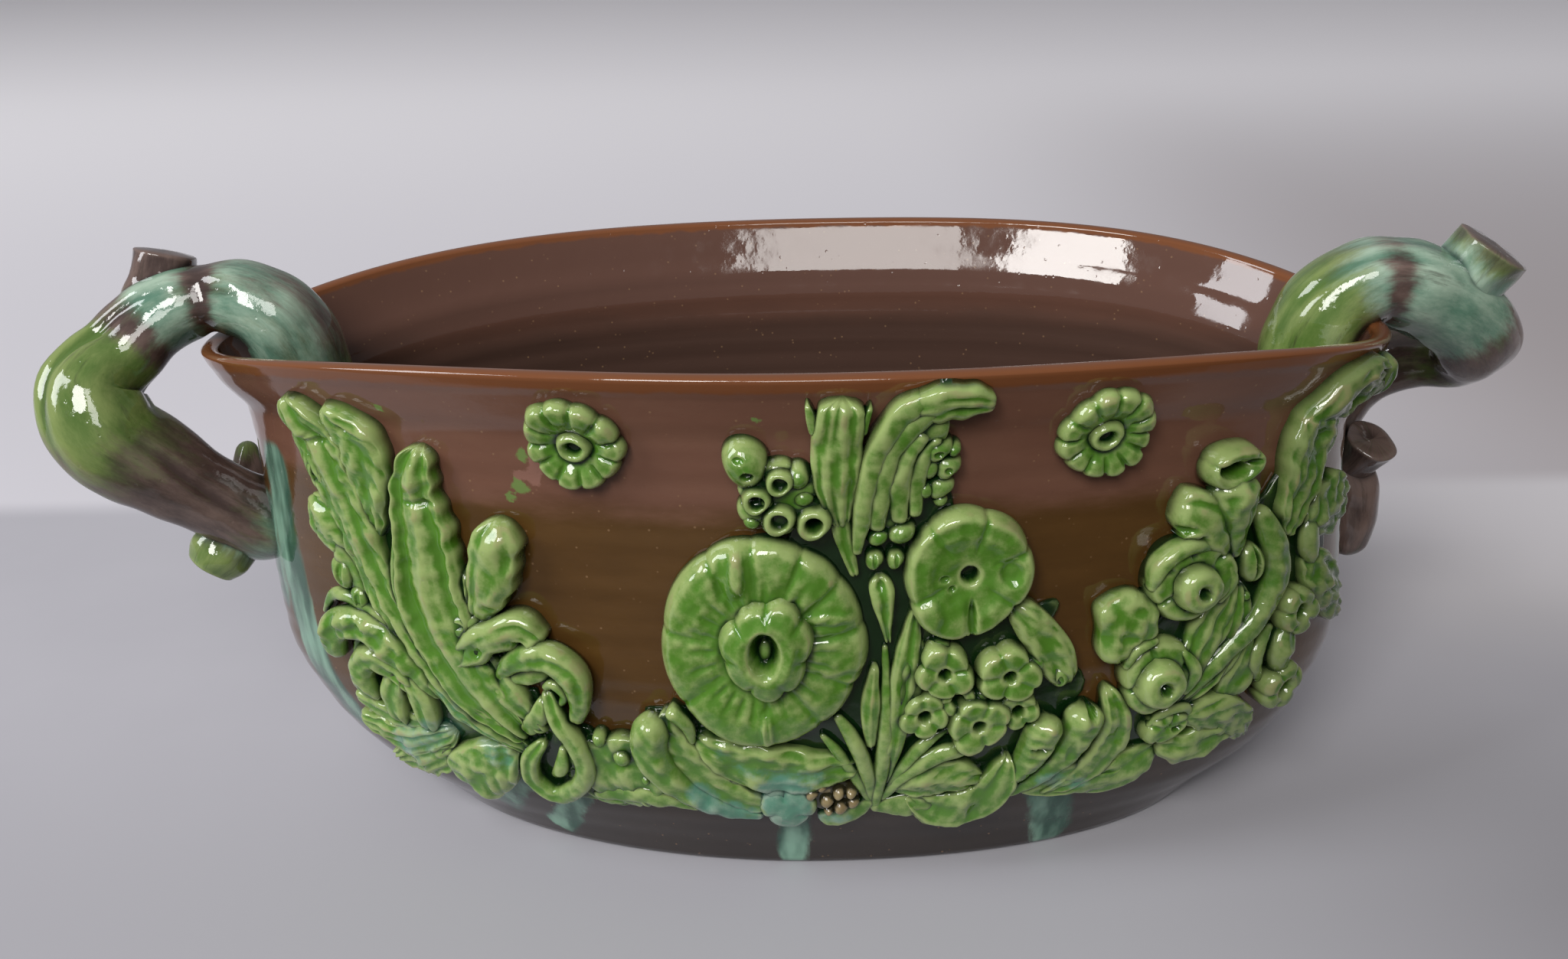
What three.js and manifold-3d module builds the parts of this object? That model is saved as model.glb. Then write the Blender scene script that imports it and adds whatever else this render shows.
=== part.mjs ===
// An oval glazed earthenware jardiniere: a thrown bowl squeezed to an oval, two branch handles
// that reach over its ends, and a garland of flowers and leaves laid on its front.
// Millimetres, +Z up, the foot rests on Z = 0 and the garland faces -Y.
import * as THREE from 'three';
import { mergeVertices } from 'three/addons/utils/BufferGeometryUtils.js';
import Module from 'manifold-3d';

const wasm = await Module();
wasm.setup();

// Bowl sizes
const bowlHeight = 164;
const footHalfLength = 129;
const bellyHalfLength = 177.5;
const waistHalfLength = 177;
const rimHalfLength = 190;
const footHalfDepth = 69;
const bellyHalfDepth = 87.5;
const waistHalfDepth = 89;
const rimHalfDepth = 97;
const rightEndShort = 14;
const endDip = 13.5;
const wallThickness = 8;
const lipThickness = 5.5;
const lipRound = 1.4;
const floorThickness = 9;

// Handle sizes
const branchRadius = 13;
const ballRadius = 14.5;
const kneeRadius = 15.5;
const rootRadius = 13;
const stubRadius = 9.5;
const thornRadius = 5;
const knobRadius = 8.5;

// Garland sizes
const clearance = 0.3;
const cutterGrowth = 0.36;
const backStep = 0.06;
const groundThickness = 1.3;
const leafEdge = 0.35;
const edgeRound = 1.2;
const stemRadius = 2.2;
const curlRadius = 3.3;
const petalHeight = 6;

// The shape of the squeezed oval: its left end is a little pointed, its right end blunt
const leftBluntness = 1.9;
const rightBluntness = 2.2;
const dipPower = 4;
const shortPower = 0.7;

// The wall's levels, as shares of the height, and how it swells and flares between its sizes
const bellyLevel = 0.58;
const waistLevel = 0.76;
const levels = [0, 0.05, 0.12, 0.22, 0.38, bellyLevel, waistLevel, 0.88, 0.95, 1];
const lengthSwell = [0, 0.2, 0.52, 0.77, 0.97, 1];
const depthSwell = [0, 0.11, 0.33, 0.6, 0.89, 1];
const lengthFlare = [0, 0.1, 0.73, 1];
const depthFlare = [0, 0.25, 0.69, 1];

// The garland's chart: u runs round the belly from the front's middle, v up the wall.
// These are the chart's own edges, which lie on the bowl's ends and rim whatever its size.
const chartLeftEnd = 211.8;
const chartRightEnd = 209.5;
const chartTop = 164;
const chartLevel = 0.5;

const bowlSides = 50;

// A curve through stations that never overshoots them
function through(stations, values) {
  const rise = values.slice(1).map((v, i) => (v - values[i]) / (stations[i + 1] - stations[i]));
  const slopes = values.map((v, i) => {
    if (i === 0) return rise[0];
    if (i === values.length - 1) return rise[i - 1];
    if (rise[i - 1] * rise[i] <= 0) return 0;
    return (2 * rise[i - 1] * rise[i]) / (rise[i - 1] + rise[i]);
  });
  return (x) => {
    const last = stations.length - 2;
    let i = 0;
    while (i < last && x > stations[i + 1]) i += 1;
    const span = stations[i + 1] - stations[i];
    const p = THREE.MathUtils.clamp((x - stations[i]) / span, 0, 1);
    const a = values[i] * (1 + 2 * p) * (1 - p) ** 2 + values[i + 1] * p * p * (3 - 2 * p);
    return a + span * (slopes[i] * p * (1 - p) ** 2 - slopes[i + 1] * p * p * (1 - p));
  };
}

// Values spread evenly from the start of a piece to its end
function spread(values) {
  if (values.length === 1) return () => values[0];
  return through(values.map((v, i) => i / (values.length - 1)), values);
}

function halfSize(foot, belly, waist, rim, swell, flare) {
  const low = swell.map((share) => foot + (belly - foot) * share);
  const high = flare.map((share) => waist + (rim - waist) * share);
  return through(levels, [...low, ...high]);
}

const halfLength = halfSize(
  footHalfLength, bellyHalfLength, waistHalfLength, rimHalfLength, lengthSwell, lengthFlare,
);
const halfDepth = halfSize(
  footHalfDepth, bellyHalfDepth, waistHalfDepth, rimHalfDepth, depthSwell, depthFlare,
);

const signedPower = (x, power) => Math.sign(x) * Math.abs(x) ** power;

// A point of the bowl's wall: the turn round the oval, the level up it, how far in from the
// outer face, and how far it is lifted
function onOval(turn, level, inset = 0, lift = 0) {
  const c = Math.cos(turn);
  const bluntness = c < 0 ? leftBluntness : rightBluntness;
  const x = signedPower(c, 2 / bluntness);
  const y = signedPower(Math.sin(turn), 2 / bluntness);
  const shorter = c < 0 ? 1 : 1 - (rightEndShort / rimHalfLength) * level ** shortPower;
  return new THREE.Vector3(
    (halfLength(level) * shorter - inset) * x,
    (halfDepth(level) - inset) * y,
    level * (bowlHeight - endDip * Math.abs(x) ** dipPower) + lift,
  );
}

// Closed meshes and solids
function closed(geometry) {
  geometry.deleteAttribute('normal');
  geometry.deleteAttribute('uv');
  const merged = mergeVertices(geometry, 1e-4);
  const p = merged.attributes.position;
  const index = merged.index.array;
  const corner = (i) => new THREE.Vector3().fromBufferAttribute(p, i);
  const kept = [];
  let volume = 0;
  for (let i = 0; i < index.length; i += 3) {
    const [a, b, c] = [index[i], index[i + 1], index[i + 2]];
    if (a === b || b === c || a === c) continue;
    kept.push(a, b, c);
    volume += corner(a).dot(corner(b).cross(corner(c)));
  }
  if (volume < 0) kept.reverse();
  merged.setIndex(kept);
  return merged;
}

function solid(geometry) {
  const whole = closed(geometry);
  return new wasm.Manifold(new wasm.Mesh({
    numProp: 3,
    vertProperties: new Float32Array(whole.attributes.position.array),
    triVerts: new Uint32Array(whole.index.array),
  }));
}

// Trimming may leave crumbs, so only a piece's largest body is kept
function mainBody(manifold) {
  const mesh = manifold.getMesh();
  const geometry = new THREE.BufferGeometry();
  geometry.setAttribute('position', new THREE.BufferAttribute(mesh.vertProperties, 3));
  geometry.setIndex(new THREE.BufferAttribute(mesh.triVerts, 1));
  const merged = mergeVertices(geometry, 1e-5);
  const p = merged.attributes.position;
  const index = merged.index.array;
  const parent = Array.from({ length: p.count }, (v, i) => i);
  const root = (i) => {
    let r = i;
    while (parent[r] !== r) r = parent[r];
    while (parent[i] !== r) [parent[i], i] = [r, parent[i]];
    return r;
  };
  for (let i = 0; i < index.length; i += 3) {
    parent[root(index[i])] = root(index[i + 1]);
    parent[root(index[i + 1])] = root(index[i + 2]);
  }
  const bodies = new Map();
  const corner = (i) => new THREE.Vector3().fromBufferAttribute(p, i);
  for (let i = 0; i < index.length; i += 3) {
    const [a, b, c] = [index[i], index[i + 1], index[i + 2]];
    if (a === b || b === c || a === c) continue;
    const key = root(a);
    const body = bodies.get(key) ?? { volume: 0, triangles: [] };
    body.volume += corner(a).dot(corner(b).cross(corner(c)));
    body.triangles.push(a, b, c);
    bodies.set(key, body);
  }
  const largest = [...bodies.values()].sort((a, b) => b.volume - a.volume)[0];
  merged.setIndex(largest.triangles);
  return merged.toNonIndexed();
}

// The bowl: a turned profile laid round the oval
function turned(rows) {
  const outline = rows.map(([level, inset, lift, onAxis]) => {
    const p = onOval(0, level, inset, lift);
    return new THREE.Vector2(onAxis ? 0 : p.x, onAxis ? lift : p.z);
  });
  const geometry = new THREE.LatheGeometry(outline, bowlSides);
  const p = geometry.attributes.position;
  for (let i = 0; i <= bowlSides; i += 1) {
    const turn = ((i % bowlSides) / bowlSides) * 2 * Math.PI;
    rows.forEach(([level, inset, lift, onAxis], j) => {
      const at = onAxis ? new THREE.Vector3(0, 0, lift) : onOval(turn, level, inset, lift);
      p.setXYZ(i * rows.length + j, at.x, at.y, at.z);
    });
  }
  return geometry;
}

const outerLevels = [0, 0.05, 0.12, 0.22, 0.36, 0.54, 0.74, 0.86, 0.89, 0.92, 0.95, 1];
const innerLevels = [0.93, 0.8, 0.6, 0.4, 0.22];
const thinning = through([0, 0.8, 1], [wallThickness, wallThickness, lipThickness]);

// The bowl's rows, from the foot's middle round the lip to the floor's middle
function bowlRows(grown) {
  const floorLevel = floorThickness / bowlHeight;
  const outer = outerLevels.map((level, i) => [level, -grown, i === 0 ? -grown : 0]);
  const lip = [
    [1, 0.25 * lipThickness - grown, lipRound + grown],
    [1, 0.7 * lipThickness + grown, lipRound + grown],
    [1, lipThickness + grown, 0],
  ];
  const inner = innerLevels.map((level) => [level, thinning(level) + grown, 0]);
  const cove = [
    [floorLevel + 0.06, 1.4 * wallThickness + grown, 0],
    [floorLevel + 0.01, 3 * wallThickness + grown, 0],
  ];
  const middle = [0, 0, floorThickness + grown, true];
  return [[0, 0, -grown, true], ...outer, ...lip, ...inner, ...cove, middle];
}

// The chart: arc lengths round the belly, kept as shares of each end's reach
function turnsFromShares(direction) {
  const steps = 240;
  const turns = Array.from({ length: steps + 1 }, (v, i) => direction * (i / steps) * 0.5 * Math.PI);
  const points = turns.map((a) => onOval(-0.5 * Math.PI + a, chartLevel));
  const run = [0];
  for (let i = 1; i <= steps; i += 1) run.push(run[i - 1] + points[i].distanceTo(points[i - 1]));
  const shares = run.map((length) => length / run[steps]);
  return (share) => {
    const wanted = THREE.MathUtils.clamp(share, 0, 1);
    let i = 1;
    while (i < steps && shares[i] < wanted) i += 1;
    const p = (wanted - shares[i - 1]) / (shares[i] - shares[i - 1]);
    return -0.5 * Math.PI + turns[i - 1] + p * (turns[i] - turns[i - 1]);
  };
}

const leftTurn = turnsFromShares(-1);
const rightTurn = turnsFromShares(1);

// A point of the garland: w millimetres off the bowl's face at chart place u, v
function onBowl(u, v, w) {
  const turn = u < 0 ? leftTurn(-u / chartLeftEnd) : rightTurn(u / chartRightEnd);
  const level = THREE.MathUtils.clamp(v / chartTop, 0, 1);
  const step = 0.002;
  const low = Math.max(level - step, 0);
  const high = Math.min(level + step, 1);
  const round = onOval(turn + step, level).sub(onOval(turn - step, level));
  const up = onOval(turn, high).sub(onOval(turn, low));
  const out = round.cross(up).normalize();
  return onOval(turn, level).addScaledVector(out, w);
}

// A blank for a long piece: its poles are the piece's ends, and each other vertex is set by how
// far along the piece it lies and its turn round the section
function longBlank(rings, turns, place) {
  const sides = turns.length;
  const blank = new THREE.SphereGeometry(1, sides, rings);
  const p = blank.attributes.position;
  for (let ring = 0; ring <= rings; ring += 1) {
    const along = THREE.MathUtils.clamp((ring - 1) / (rings - 2), 0, 1);
    const pole = ring === 0 || ring === rings;
    const end = ring <= 1 ? -1 : ring >= rings - 1 ? 1 : 0;
    for (let side = 0; side <= sides; side += 1) {
      const at = place(along, turns[side % sides], pole, end);
      p.setXYZ(ring * (sides + 1) + side, at.x, at.y, at.z);
    }
  }
  return solid(blank);
}

// The turns round a section, in degrees: a blade has a flat back with a middle line, and a cord a
// flat foot; a rod is round
const degrees = (...turns) => turns.map((turn) => THREE.MathUtils.degToRad(turn));
const bladeTurns = degrees(0, 32, 90, 148, 180, 270);
const sheetTurns = degrees(8, 50, 76, 104, 130, 172, 188, 230, 256, 284, 310, 352);
const cordTurns = degrees(-30, 20, 66, 114, 160, 210);
const rodTurns = degrees(0, 40, 80, 120, 160, 200, 240, 280, 320);
const stubTurns = degrees(0, 45, 90, 135, 180, 225, 270, 315);

// The centre line of a garland piece, as chart points with an optional height off the bowl
function chartLine(points) {
  const curve = new THREE.CatmullRomCurve3(points.map(([u, v, w = 0]) => new THREE.Vector3(u, v, w)));
  return (along) => {
    const at = curve.getPoint(along);
    const way = curve.getTangent(along).setZ(0).normalize();
    return { at, way, side: new THREE.Vector3(-way.y, way.x, 0) };
  };
}

// A leaf or petal: a low blade with a crown across it and, if wanted, a midrib
function blade(line, halfWidths, heights, { rings = 8, rib = 0, edge = leafEdge,
  turns = bladeTurns } = {}) {
  const centre = chartLine(line);
  const width = spread(halfWidths);
  const height = spread(heights);
  return (grown, back) => longBlank(rings, turns, (along, turn, pole, end) => {
    const { at, way, side } = centre(along);
    const across = pole ? 0 : Math.cos(turn);
    const reach = across * (width(along) + grown);
    const ridge = rib * Math.max(0, 1 - 3 * Math.abs(across));
    const crown = edge + (1 - edge) * Math.sin(turn);
    const rise = Math.sin(turn) > 0.01 && !pole ? (height(along) + ridge) * crown + 2 * grown : 0;
    const w = back + rise + (pole ? 0.5 * edge * height(along) : 0);
    const u = at.x + side.x * reach + way.x * end * grown;
    const v = at.y + side.y * reach + way.y * end * grown;
    return onBowl(u, v, w);
  });
}

// A stem, curl or stub of round section on the garland, flattened where it meets the bowl
function cord(line, radii, { rings = 8 } = {}) {
  const centre = chartLine(line);
  const radius = spread(radii);
  return (grown, back) => longBlank(rings, cordTurns, (along, turn, pole, end) => {
    const { at, way, side } = centre(along);
    const r = pole ? 0 : radius(along) + grown;
    const reach = Math.cos(turn) * r;
    const top = Math.max(back + grown + at.z + Math.sin(turn) * r, back);
    const u = at.x + side.x * reach + way.x * end * grown;
    const v = at.y + side.y * reach + way.y * end * grown;
    const foot = !pole && Math.sin(turn) < -0.1;
    return onBowl(u, v, foot ? back : top);
  });
}

// A flower, rosette, bead or bud seen face on: a height for each share of the radius, with
// notched petals creased at their joins
function bloom(centre, radii, profile, look = {}) {
  const { petals = 0, notch = 0.1, crease = 0.3, tilt = 0, phase = 0, rings = 6, sides = 20,
    backRings = 1 } = look;
  const height = spread(profile);
  return (grown, back) => {
    const blank = new THREE.SphereGeometry(1, sides, rings - 1 + backRings);
    const p = blank.attributes.position;
    for (let ring = 0; ring < rings + backRings; ring += 1) {
      const front = ring < rings;
      const share = front ? ring / (rings - 1) : (rings - 1 + backRings - ring) / backRings / edgeRound;
      for (let side = 0; side <= sides; side += 1) {
        const turn = ((side % sides) / sides) * 2 * Math.PI;
        const petal = petals ? Math.abs(Math.cos(0.5 * petals * (turn - phase))) ** 0.6 : 1;
        const edge = 1 - notch * (1 - petal) * THREE.MathUtils.smoothstep(share, 0.3, 1);
        const ru = (radii[0] * edge + grown) * Math.min(1, share * edgeRound) * Math.cos(turn);
        const rv = (radii[1] * edge + grown) * Math.min(1, share * edgeRound) * Math.sin(turn);
        const fold = 1 - crease * (1 - petal) * THREE.MathUtils.smoothstep(share, 0.25, 0.7);
        const u = centre[0] + ru * Math.cos(tilt) - rv * Math.sin(tilt);
        const v = centre[1] + ru * Math.sin(tilt) + rv * Math.cos(tilt);
        const rim = share >= 1;
        const w = front && !rim ? back + height(share * edgeRound) * fold + 2 * grown : back;
        const at = onBowl(u, v, w);
        p.setXYZ(ring * (sides + 1) + side, at.x, at.y, at.z);
      }
    }
    return solid(blank);
  };
}

// A round or oval bead, flower bud or lump
function bead(centre, radii, height, tilt = 0) {
  const dome = [1, 0.9, 0.5].map((share) => share * height);
  return bloom(centre, radii, dome, { rings: 4, sides: 7, tilt });
}

// Glazes
const glaze = {
  brown: { color: 0x3e2418, roughness: 0.16, metalness: 0 },
  green: { color: 0x4f8a2c, roughness: 0.18, metalness: 0 },
  branch: { color: 0x5e7f5c, roughness: 0.14, metalness: 0 },
};

const jardiniere = new THREE.Group();
jardiniere.name = 'jardiniere';

function addPiece(name, geometry, finish) {
  geometry.computeVertexNormals();
  const mesh = new THREE.Mesh(geometry, new THREE.MeshStandardMaterial(finish));
  mesh.name = name;
  jardiniere.add(mesh);
}

addPiece('bowl', closed(turned(bowlRows(0))).toNonIndexed(), glaze.brown);

// Handles. A branch is a round rod of changing thickness along a smooth line
const smoothLine = (points) => new THREE.CatmullRomCurve3(points.map((p) => new THREE.Vector3(...p)));

function rod(curve, radii, { rings = 17, turns = rodTurns } = {}) {
  const frames = curve.computeFrenetFrames(rings - 2);
  const radius = spread(radii);
  return (grown) => longBlank(rings, turns, (along, turn, pole, end) => {
    const i = Math.round(along * (rings - 2));
    const at = curve.getPointAt(along);
    const r = pole ? 0 : radius(along) + grown;
    return at.addScaledVector(frames.tangents[i], end * grown)
      .addScaledVector(frames.normals[i], r * Math.cos(turn))
      .addScaledVector(frames.binormals[i], r * Math.sin(turn));
  });
}

const leftRimTop = onOval(Math.PI, 1);
const rightRimTop = onOval(0, 1);
const leftBelly = onOval(Math.PI, bellyLevel);
const rightBelly = onOval(0, bellyLevel);

// Places on a handle, measured outwards from the rim's end, from the widest of the wall's end
// or from the belly's end where the root is, and up from the rim's top; `out` is -1 on the left
// and 1 on the right
function handlePlaces(rimTop, belly, waist, out) {
  const widest = out * Math.max(out * belly.x, out * waist.x);
  return {
    rim: (reach, y, rise) => [rimTop.x + out * reach, y, rimTop.z + rise],
    wall: (reach, y, rise) => [widest + out * reach, y, rimTop.z + rise],
    root: (reach, y, rise) => [belly.x + out * reach, y, rimTop.z + rise],
  };
}

// A shoot's line, from a station on its branch, in steps of the branch's radius
function shootLine(branchLine, station, steps) {
  const root = branchLine.getPointAt(station);
  return smoothLine(steps.map((step) => {
    const at = new THREE.Vector3(...step).multiplyScalar(branchRadius).add(root);
    return [at.x, at.y, at.z];
  }));
}

const left = handlePlaces(leftRimTop, leftBelly, onOval(Math.PI, waistLevel), -1);
const right = handlePlaces(rightRimTop, rightBelly, onOval(0, waistLevel), 1);
const shootLook = { rings: 6, turns: stubTurns };

const leftLine = smoothLine([
  left.wall(-6, 4, -42.5),
  left.wall(-14, 4, -31.5),
  left.rim(-28, 2, -7),
  left.rim(-23, 0, 6.5),
  left.rim(-12, 0, 13),
  left.rim(-1, -1, 13.7),
  left.rim(11, -3, 10),
  left.rim(23, -9, 0),
  left.rim(31, -17, -10),
  left.rim(26, -22, -23),
  left.rim(13, -21, -34.6),
  left.wall(12, -17, -45.5),
  left.wall(0.5, -12, -55.1),
  left.root(-10, -6, -63.2),
]);
const rightLine = smoothLine([
  right.wall(-4, 2, -46.5),
  right.wall(-11, 2, -32.5),
  right.rim(-20, 0, -8.7),
  right.rim(-14, 0, 3.7),
  right.rim(-2.6, 0, 10.8),
  right.rim(12, 1, 8.4),
  right.rim(28, 5, 0.2),
  right.rim(39, 12, -11),
  right.rim(39.5, 24, -19.5),
  right.rim(30, 35, -24),
  right.wall(23.5, 42, -31.5),
  right.wall(12, 40, -42.5),
  right.wall(2, 31, -53.5),
  right.root(-8, 22, -60.5),
]);
const leftRadii = [
  rootRadius * 0.7,
  rootRadius,
  ballRadius,
  ballRadius,
  ballRadius * 0.87,
  branchRadius * 0.87,
  branchRadius * 0.92,
  branchRadius,
  kneeRadius,
  kneeRadius * 0.97,
  branchRadius * 1.03,
  branchRadius * 0.96,
  branchRadius,
  rootRadius * 1.1,
];
const rightRadii = [
  rootRadius * 0.7,
  rootRadius,
  ballRadius,
  ballRadius,
  ballRadius,
  ballRadius * 0.97,
  ballRadius,
  branchRadius * 1.05,
  branchRadius * 0.92,
  branchRadius * 0.88,
  branchRadius * 0.88,
  branchRadius * 0.92,
  branchRadius,
  rootRadius * 1.1,
];

// Each handle's branch, the cut stub on its top, and the thorn and the knob at its lower root
const handles = [
  {
    side: 'left',
    branch: rod(leftLine, leftRadii),
    stub: rod(
      shootLine(leftLine, 0.44, [[-0.05, 0.29, -0.25], [-0.08, 0.45, 0.52], [-0.06, 0.68, 1.28]]),
      [stubRadius * 1.35, stubRadius, stubRadius * 0.9, stubRadius],
      shootLook,
    ),
    thorn: rod(
      shootLine(leftLine, 0.93, [[-0.52, 1.07, 0.06], [-0.72, 1.61, 0.68], [-0.78, 1.99, 1.29]]),
      [thornRadius * 1.4, thornRadius, thornRadius * 0.5],
      shootLook,
    ),
    knob: rod(
      shootLine(leftLine, 0.92, [[-0.1, -0.03, -0.03], [-0.79, -0.26, -0.69], [-1.18, -0.42, -1.11]]),
      [knobRadius, knobRadius * 0.94, knobRadius * 1.1, knobRadius],
      shootLook,
    ),
  },
  {
    side: 'right',
    branch: rod(rightLine, rightRadii),
    stub: rod(
      shootLine(rightLine, 0.46, [[0.02, -0.03, 0.13], [0.52, -0.18, 1.02], [0.81, -0.34, 1.63]]),
      [stubRadius * 1.35, stubRadius * 1.1, stubRadius * 1.1, stubRadius * 1.2],
      shootLook,
    ),
    thorn: rod(
      shootLine(rightLine, 0.93, [[0.62, -0.07, -0.68], [1.16, -0.68, -0.3], [1.32, -1.22, 0.32]]),
      [thornRadius * 1.4, thornRadius * 1.15, thornRadius * 1.6],
      shootLook,
    ),
    knob: rod(
      shootLine(rightLine, 0.95, [[0.52, -0.03, -0.52], [1.14, -0.26, -1.75], [1.37, -0.49, -2.67]]),
      [knobRadius, knobRadius * 0.9, knobRadius * 0.85, knobRadius * 0.75],
      shootLook,
    ),
  },
];

const grownBowl = solid(turned(bowlRows(clearance)));
handles.forEach(({ side, branch, stub, thorn, knob }) => {
  const grownBranch = branch(clearance);
  addPiece(`${side}_handle_branch`, mainBody(branch(0).subtract(grownBowl)), glaze.branch);
  addPiece(`${side}_handle_top_stub`, mainBody(stub(0).subtract(grownBranch).subtract(grownBowl)),
    glaze.branch);
  addPiece(`${side}_handle_thorn`, mainBody(thorn(0).subtract(grownBranch).subtract(grownBowl)),
    glaze.branch);
  const seat = grownBranch.add(thorn(clearance)).add(grownBowl);
  addPiece(`${side}_handle_knob`, mainBody(knob(0).subtract(seat)), glaze.branch);
});

// The garland is laid in layers: thin grounds on the bowl, the relief on the grounds, and the
// hearts of the flowers on the relief. In a layer, pieces are listed from the uppermost to the
// lowest, and each is cut round those before it
const garland = [];
const groundSeat = 1.8 * clearance;
const reliefSeat = groundSeat + groundThickness + clearance;
const lay = (name, ...forms) => garland.push({ name, forms, seat: reliefSeat });
const layOnBowl = (name, ...forms) => garland.push({ name, forms, seat: groundSeat });
const layOnFlower = (name, flowerHeight, ...forms) => {
  garland.push({ name, forms, seat: reliefSeat + flowerHeight + clearance });
};

// Middle of the garland
const flowerHeart = 5.6;
layOnFlower('big_flower_cup', flowerHeart, bloom([-15.5, 88], [12.5, 16.5], [1, 1.2, 4, 6, 5, 2.4],
  { petals: 8, notch: 0.14, crease: 0.2, rings: 7, sides: 16 }));
lay('big_flower', bloom([-17, 86.5], [28.5, 33.5], [flowerHeart, flowerHeart, flowerHeart, 6, 5.8, 3.6],
  { petals: 9, notch: 0.07, crease: 0.24, phase: 1.9, sides: 27, backRings: 2 }));
lay('round_flower', bloom([38.5, 107.5], [18, 20], [1, petalHeight - 1, 5.2, 5.2, 4.4, 2.6],
  { petals: 5, notch: 0.1, crease: 0.24, phase: 0.9, sides: 20, backRings: 2 }));
lay('berry_cluster', bloom([-11.5, 131.5], [12.5, 12.5], [4.4, 4.8, 5.6, 4],
  { petals: 6, notch: 0.2, crease: 0.35, rings: 5, sides: 18 }),
  bead([-19.5, 141.5], [6, 7.4], 5, 0.2));
lay('tulip_bud', blade([[3, 136], [3.2, 147], [4, 161]], [2.8, 6, 7, 5, 1.6],
  [3.5, 4.6, 4.8, 4, 2.5], { rib: 1.2 }),
  blade([[2.4, 139], [4.8, 126], [7.2, 112]], [4.4, 4, 3.4], [3, 3.4, 3], { rings: 5, rib: 0.6 }));
lay('tall_leaf', blade([[11, 117], [14.5, 130], [20, 146], [26, 155], [35, 158]],
  [2, 6.5, 9, 9, 7, 5, 1.6],
  [4, 4.6, 5, 5.4, 5, 4, 3], { rings: 10, rib: -1 }));
lay('bead_sprig', blade([[30.4, 129.5], [31.4, 140], [29.6, 152]], [1.8, 4.2, 2.8, 4.4, 3, 4.6, 2],
  [2.6, 4.4, 3, 4.8, 3, 5, 3], { rings: 10 }));
lay('ball_pairs', bloom([16.4, 118.2], [7.8, 8.2], [4, 4.6, 5, 3.4],
  { petals: 4, notch: 0.24, crease: 0.4, phase: 0.8, rings: 5, sides: 16 }),
  blade([[16.2, 112], [16.4, 99], [17, 87]], [2.8, 4, 3.2, 1.4], [3, 4, 3.6, 2.5], { rings: 5 }));
const floret = (u, v, r, phase) => bloom([u, v], [r, r], [2.4, 6, 6, 3.4],
  { petals: 5, notch: 0.2, crease: 0.3, phase, rings: 4, sides: 10 });
lay('floret_cluster', floret(34, 77, 8.8, 0.4), floret(49.4, 75.4, 9, 1.1),
  floret(44, 61.5, 8.8, 0.1), floret(30, 63, 8.4, 0.8));
lay('side_leaf', blade([[52, 97], [59.5, 86], [66.5, 71]], [2, 6.4, 6, 2], [4, 4.4, 4, 3],
  { rib: 0.8 }));
lay('notch_bud', bead([61.3, 56.6], [5.8, 6.8], 6), cord([[61.4, 53, 2], [59.5, 43, 1.8],
  [51.5, 32.5, 1.2]],
  [stemRadius * 1.9, stemRadius * 1.7, stemRadius * 1.2], { rings: 6 }));
lay('hollow_bud', bloom([73, 60.6], [6.2, 7], [2.4, 6, 5.6, 3], { rings: 5, sides: 10 }),
  cord([[72.6, 56, 2.4], [69, 44, 2], [57.5, 30.5, 1.4]],
    [stemRadius * 2.2, stemRadius * 1.9, stemRadius * 1.2], { rings: 7 }));
lay('cowl_leaf', cord([[-19.5, 26, 1.6], [-33, 31, 2], [-44.5, 40, 2.2], [-50.5, 52, 2.4],
  [-47, 64, 2.6]],
  [2, 4, 5, 5.2, 4], { rings: 9 }),
  blade([[-18, 30], [-30, 36], [-38.5, 46], [-43, 56], [-44.5, 64]], [2.4, 5.4, 5.6, 4.4, 2],
  [3.4, 4.2, 4.2, 4, 3]));
lay('seeds', bloom([1.2, 34], [8.4, 5.8], [4.4, 4.6, 4, 2.4],
  { petals: 6, notch: 0.22, crease: 0.5, rings: 5, sides: 18 }));
lay('low_leaves', blade([[22, 37], [32, 40.5], [45, 39]], [1.6, 6.2, 7, 5.2, 1.6],
  [3, 4.4, 4.6, 4.4, 3], { rib: 0.9 }),
  blade([[27, 35], [40, 27.5], [49, 33], [52, 44]], [2, 6.4, 7, 5.4, 2], [3.4, 4, 4, 4, 3]));
lay('middle_stems', cord([[15.5, 33, 1.6], [17, 55, 2], [15.5, 84, 1.4]], [3.4, 3.4, 3], { rings: 6 }),
  cord([[15.5, 38, 1.2], [11, 50, 1.6], [5.6, 61, 1.2]], [3, 3, 2.4], { rings: 5 }),
  cord([[17, 36, 1.2], [27, 46.5, 1.6], [35, 50.2, 1.6], [43, 48.4, 1.4]], [2.6, 3.2, 3, 2.6],
    { rings: 6 }),
  blade([[18, 50], [21, 66], [23.4, 84], [24, 98]], [2, 2.8, 3.6, 1.6], [3, 3.4, 3.4, 2.5],
    { rings: 6 }));
lay('under_leaf', blade([[-38, 55.5], [-22, 45.5], [-4, 42.5], [9, 44]], [2, 7, 8.4, 7, 3],
  [3.2, 4.4, 4.6, 4, 3], { rings: 8, rib: -0.8 }));
lay('garland_knot', bloom([-11.5, 30], [9.5, 9.8], [3.6, 3.6, 3, 2],
  { petals: 3, notch: 0.2, crease: 0.1, rings: 5, sides: 15 }));

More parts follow.
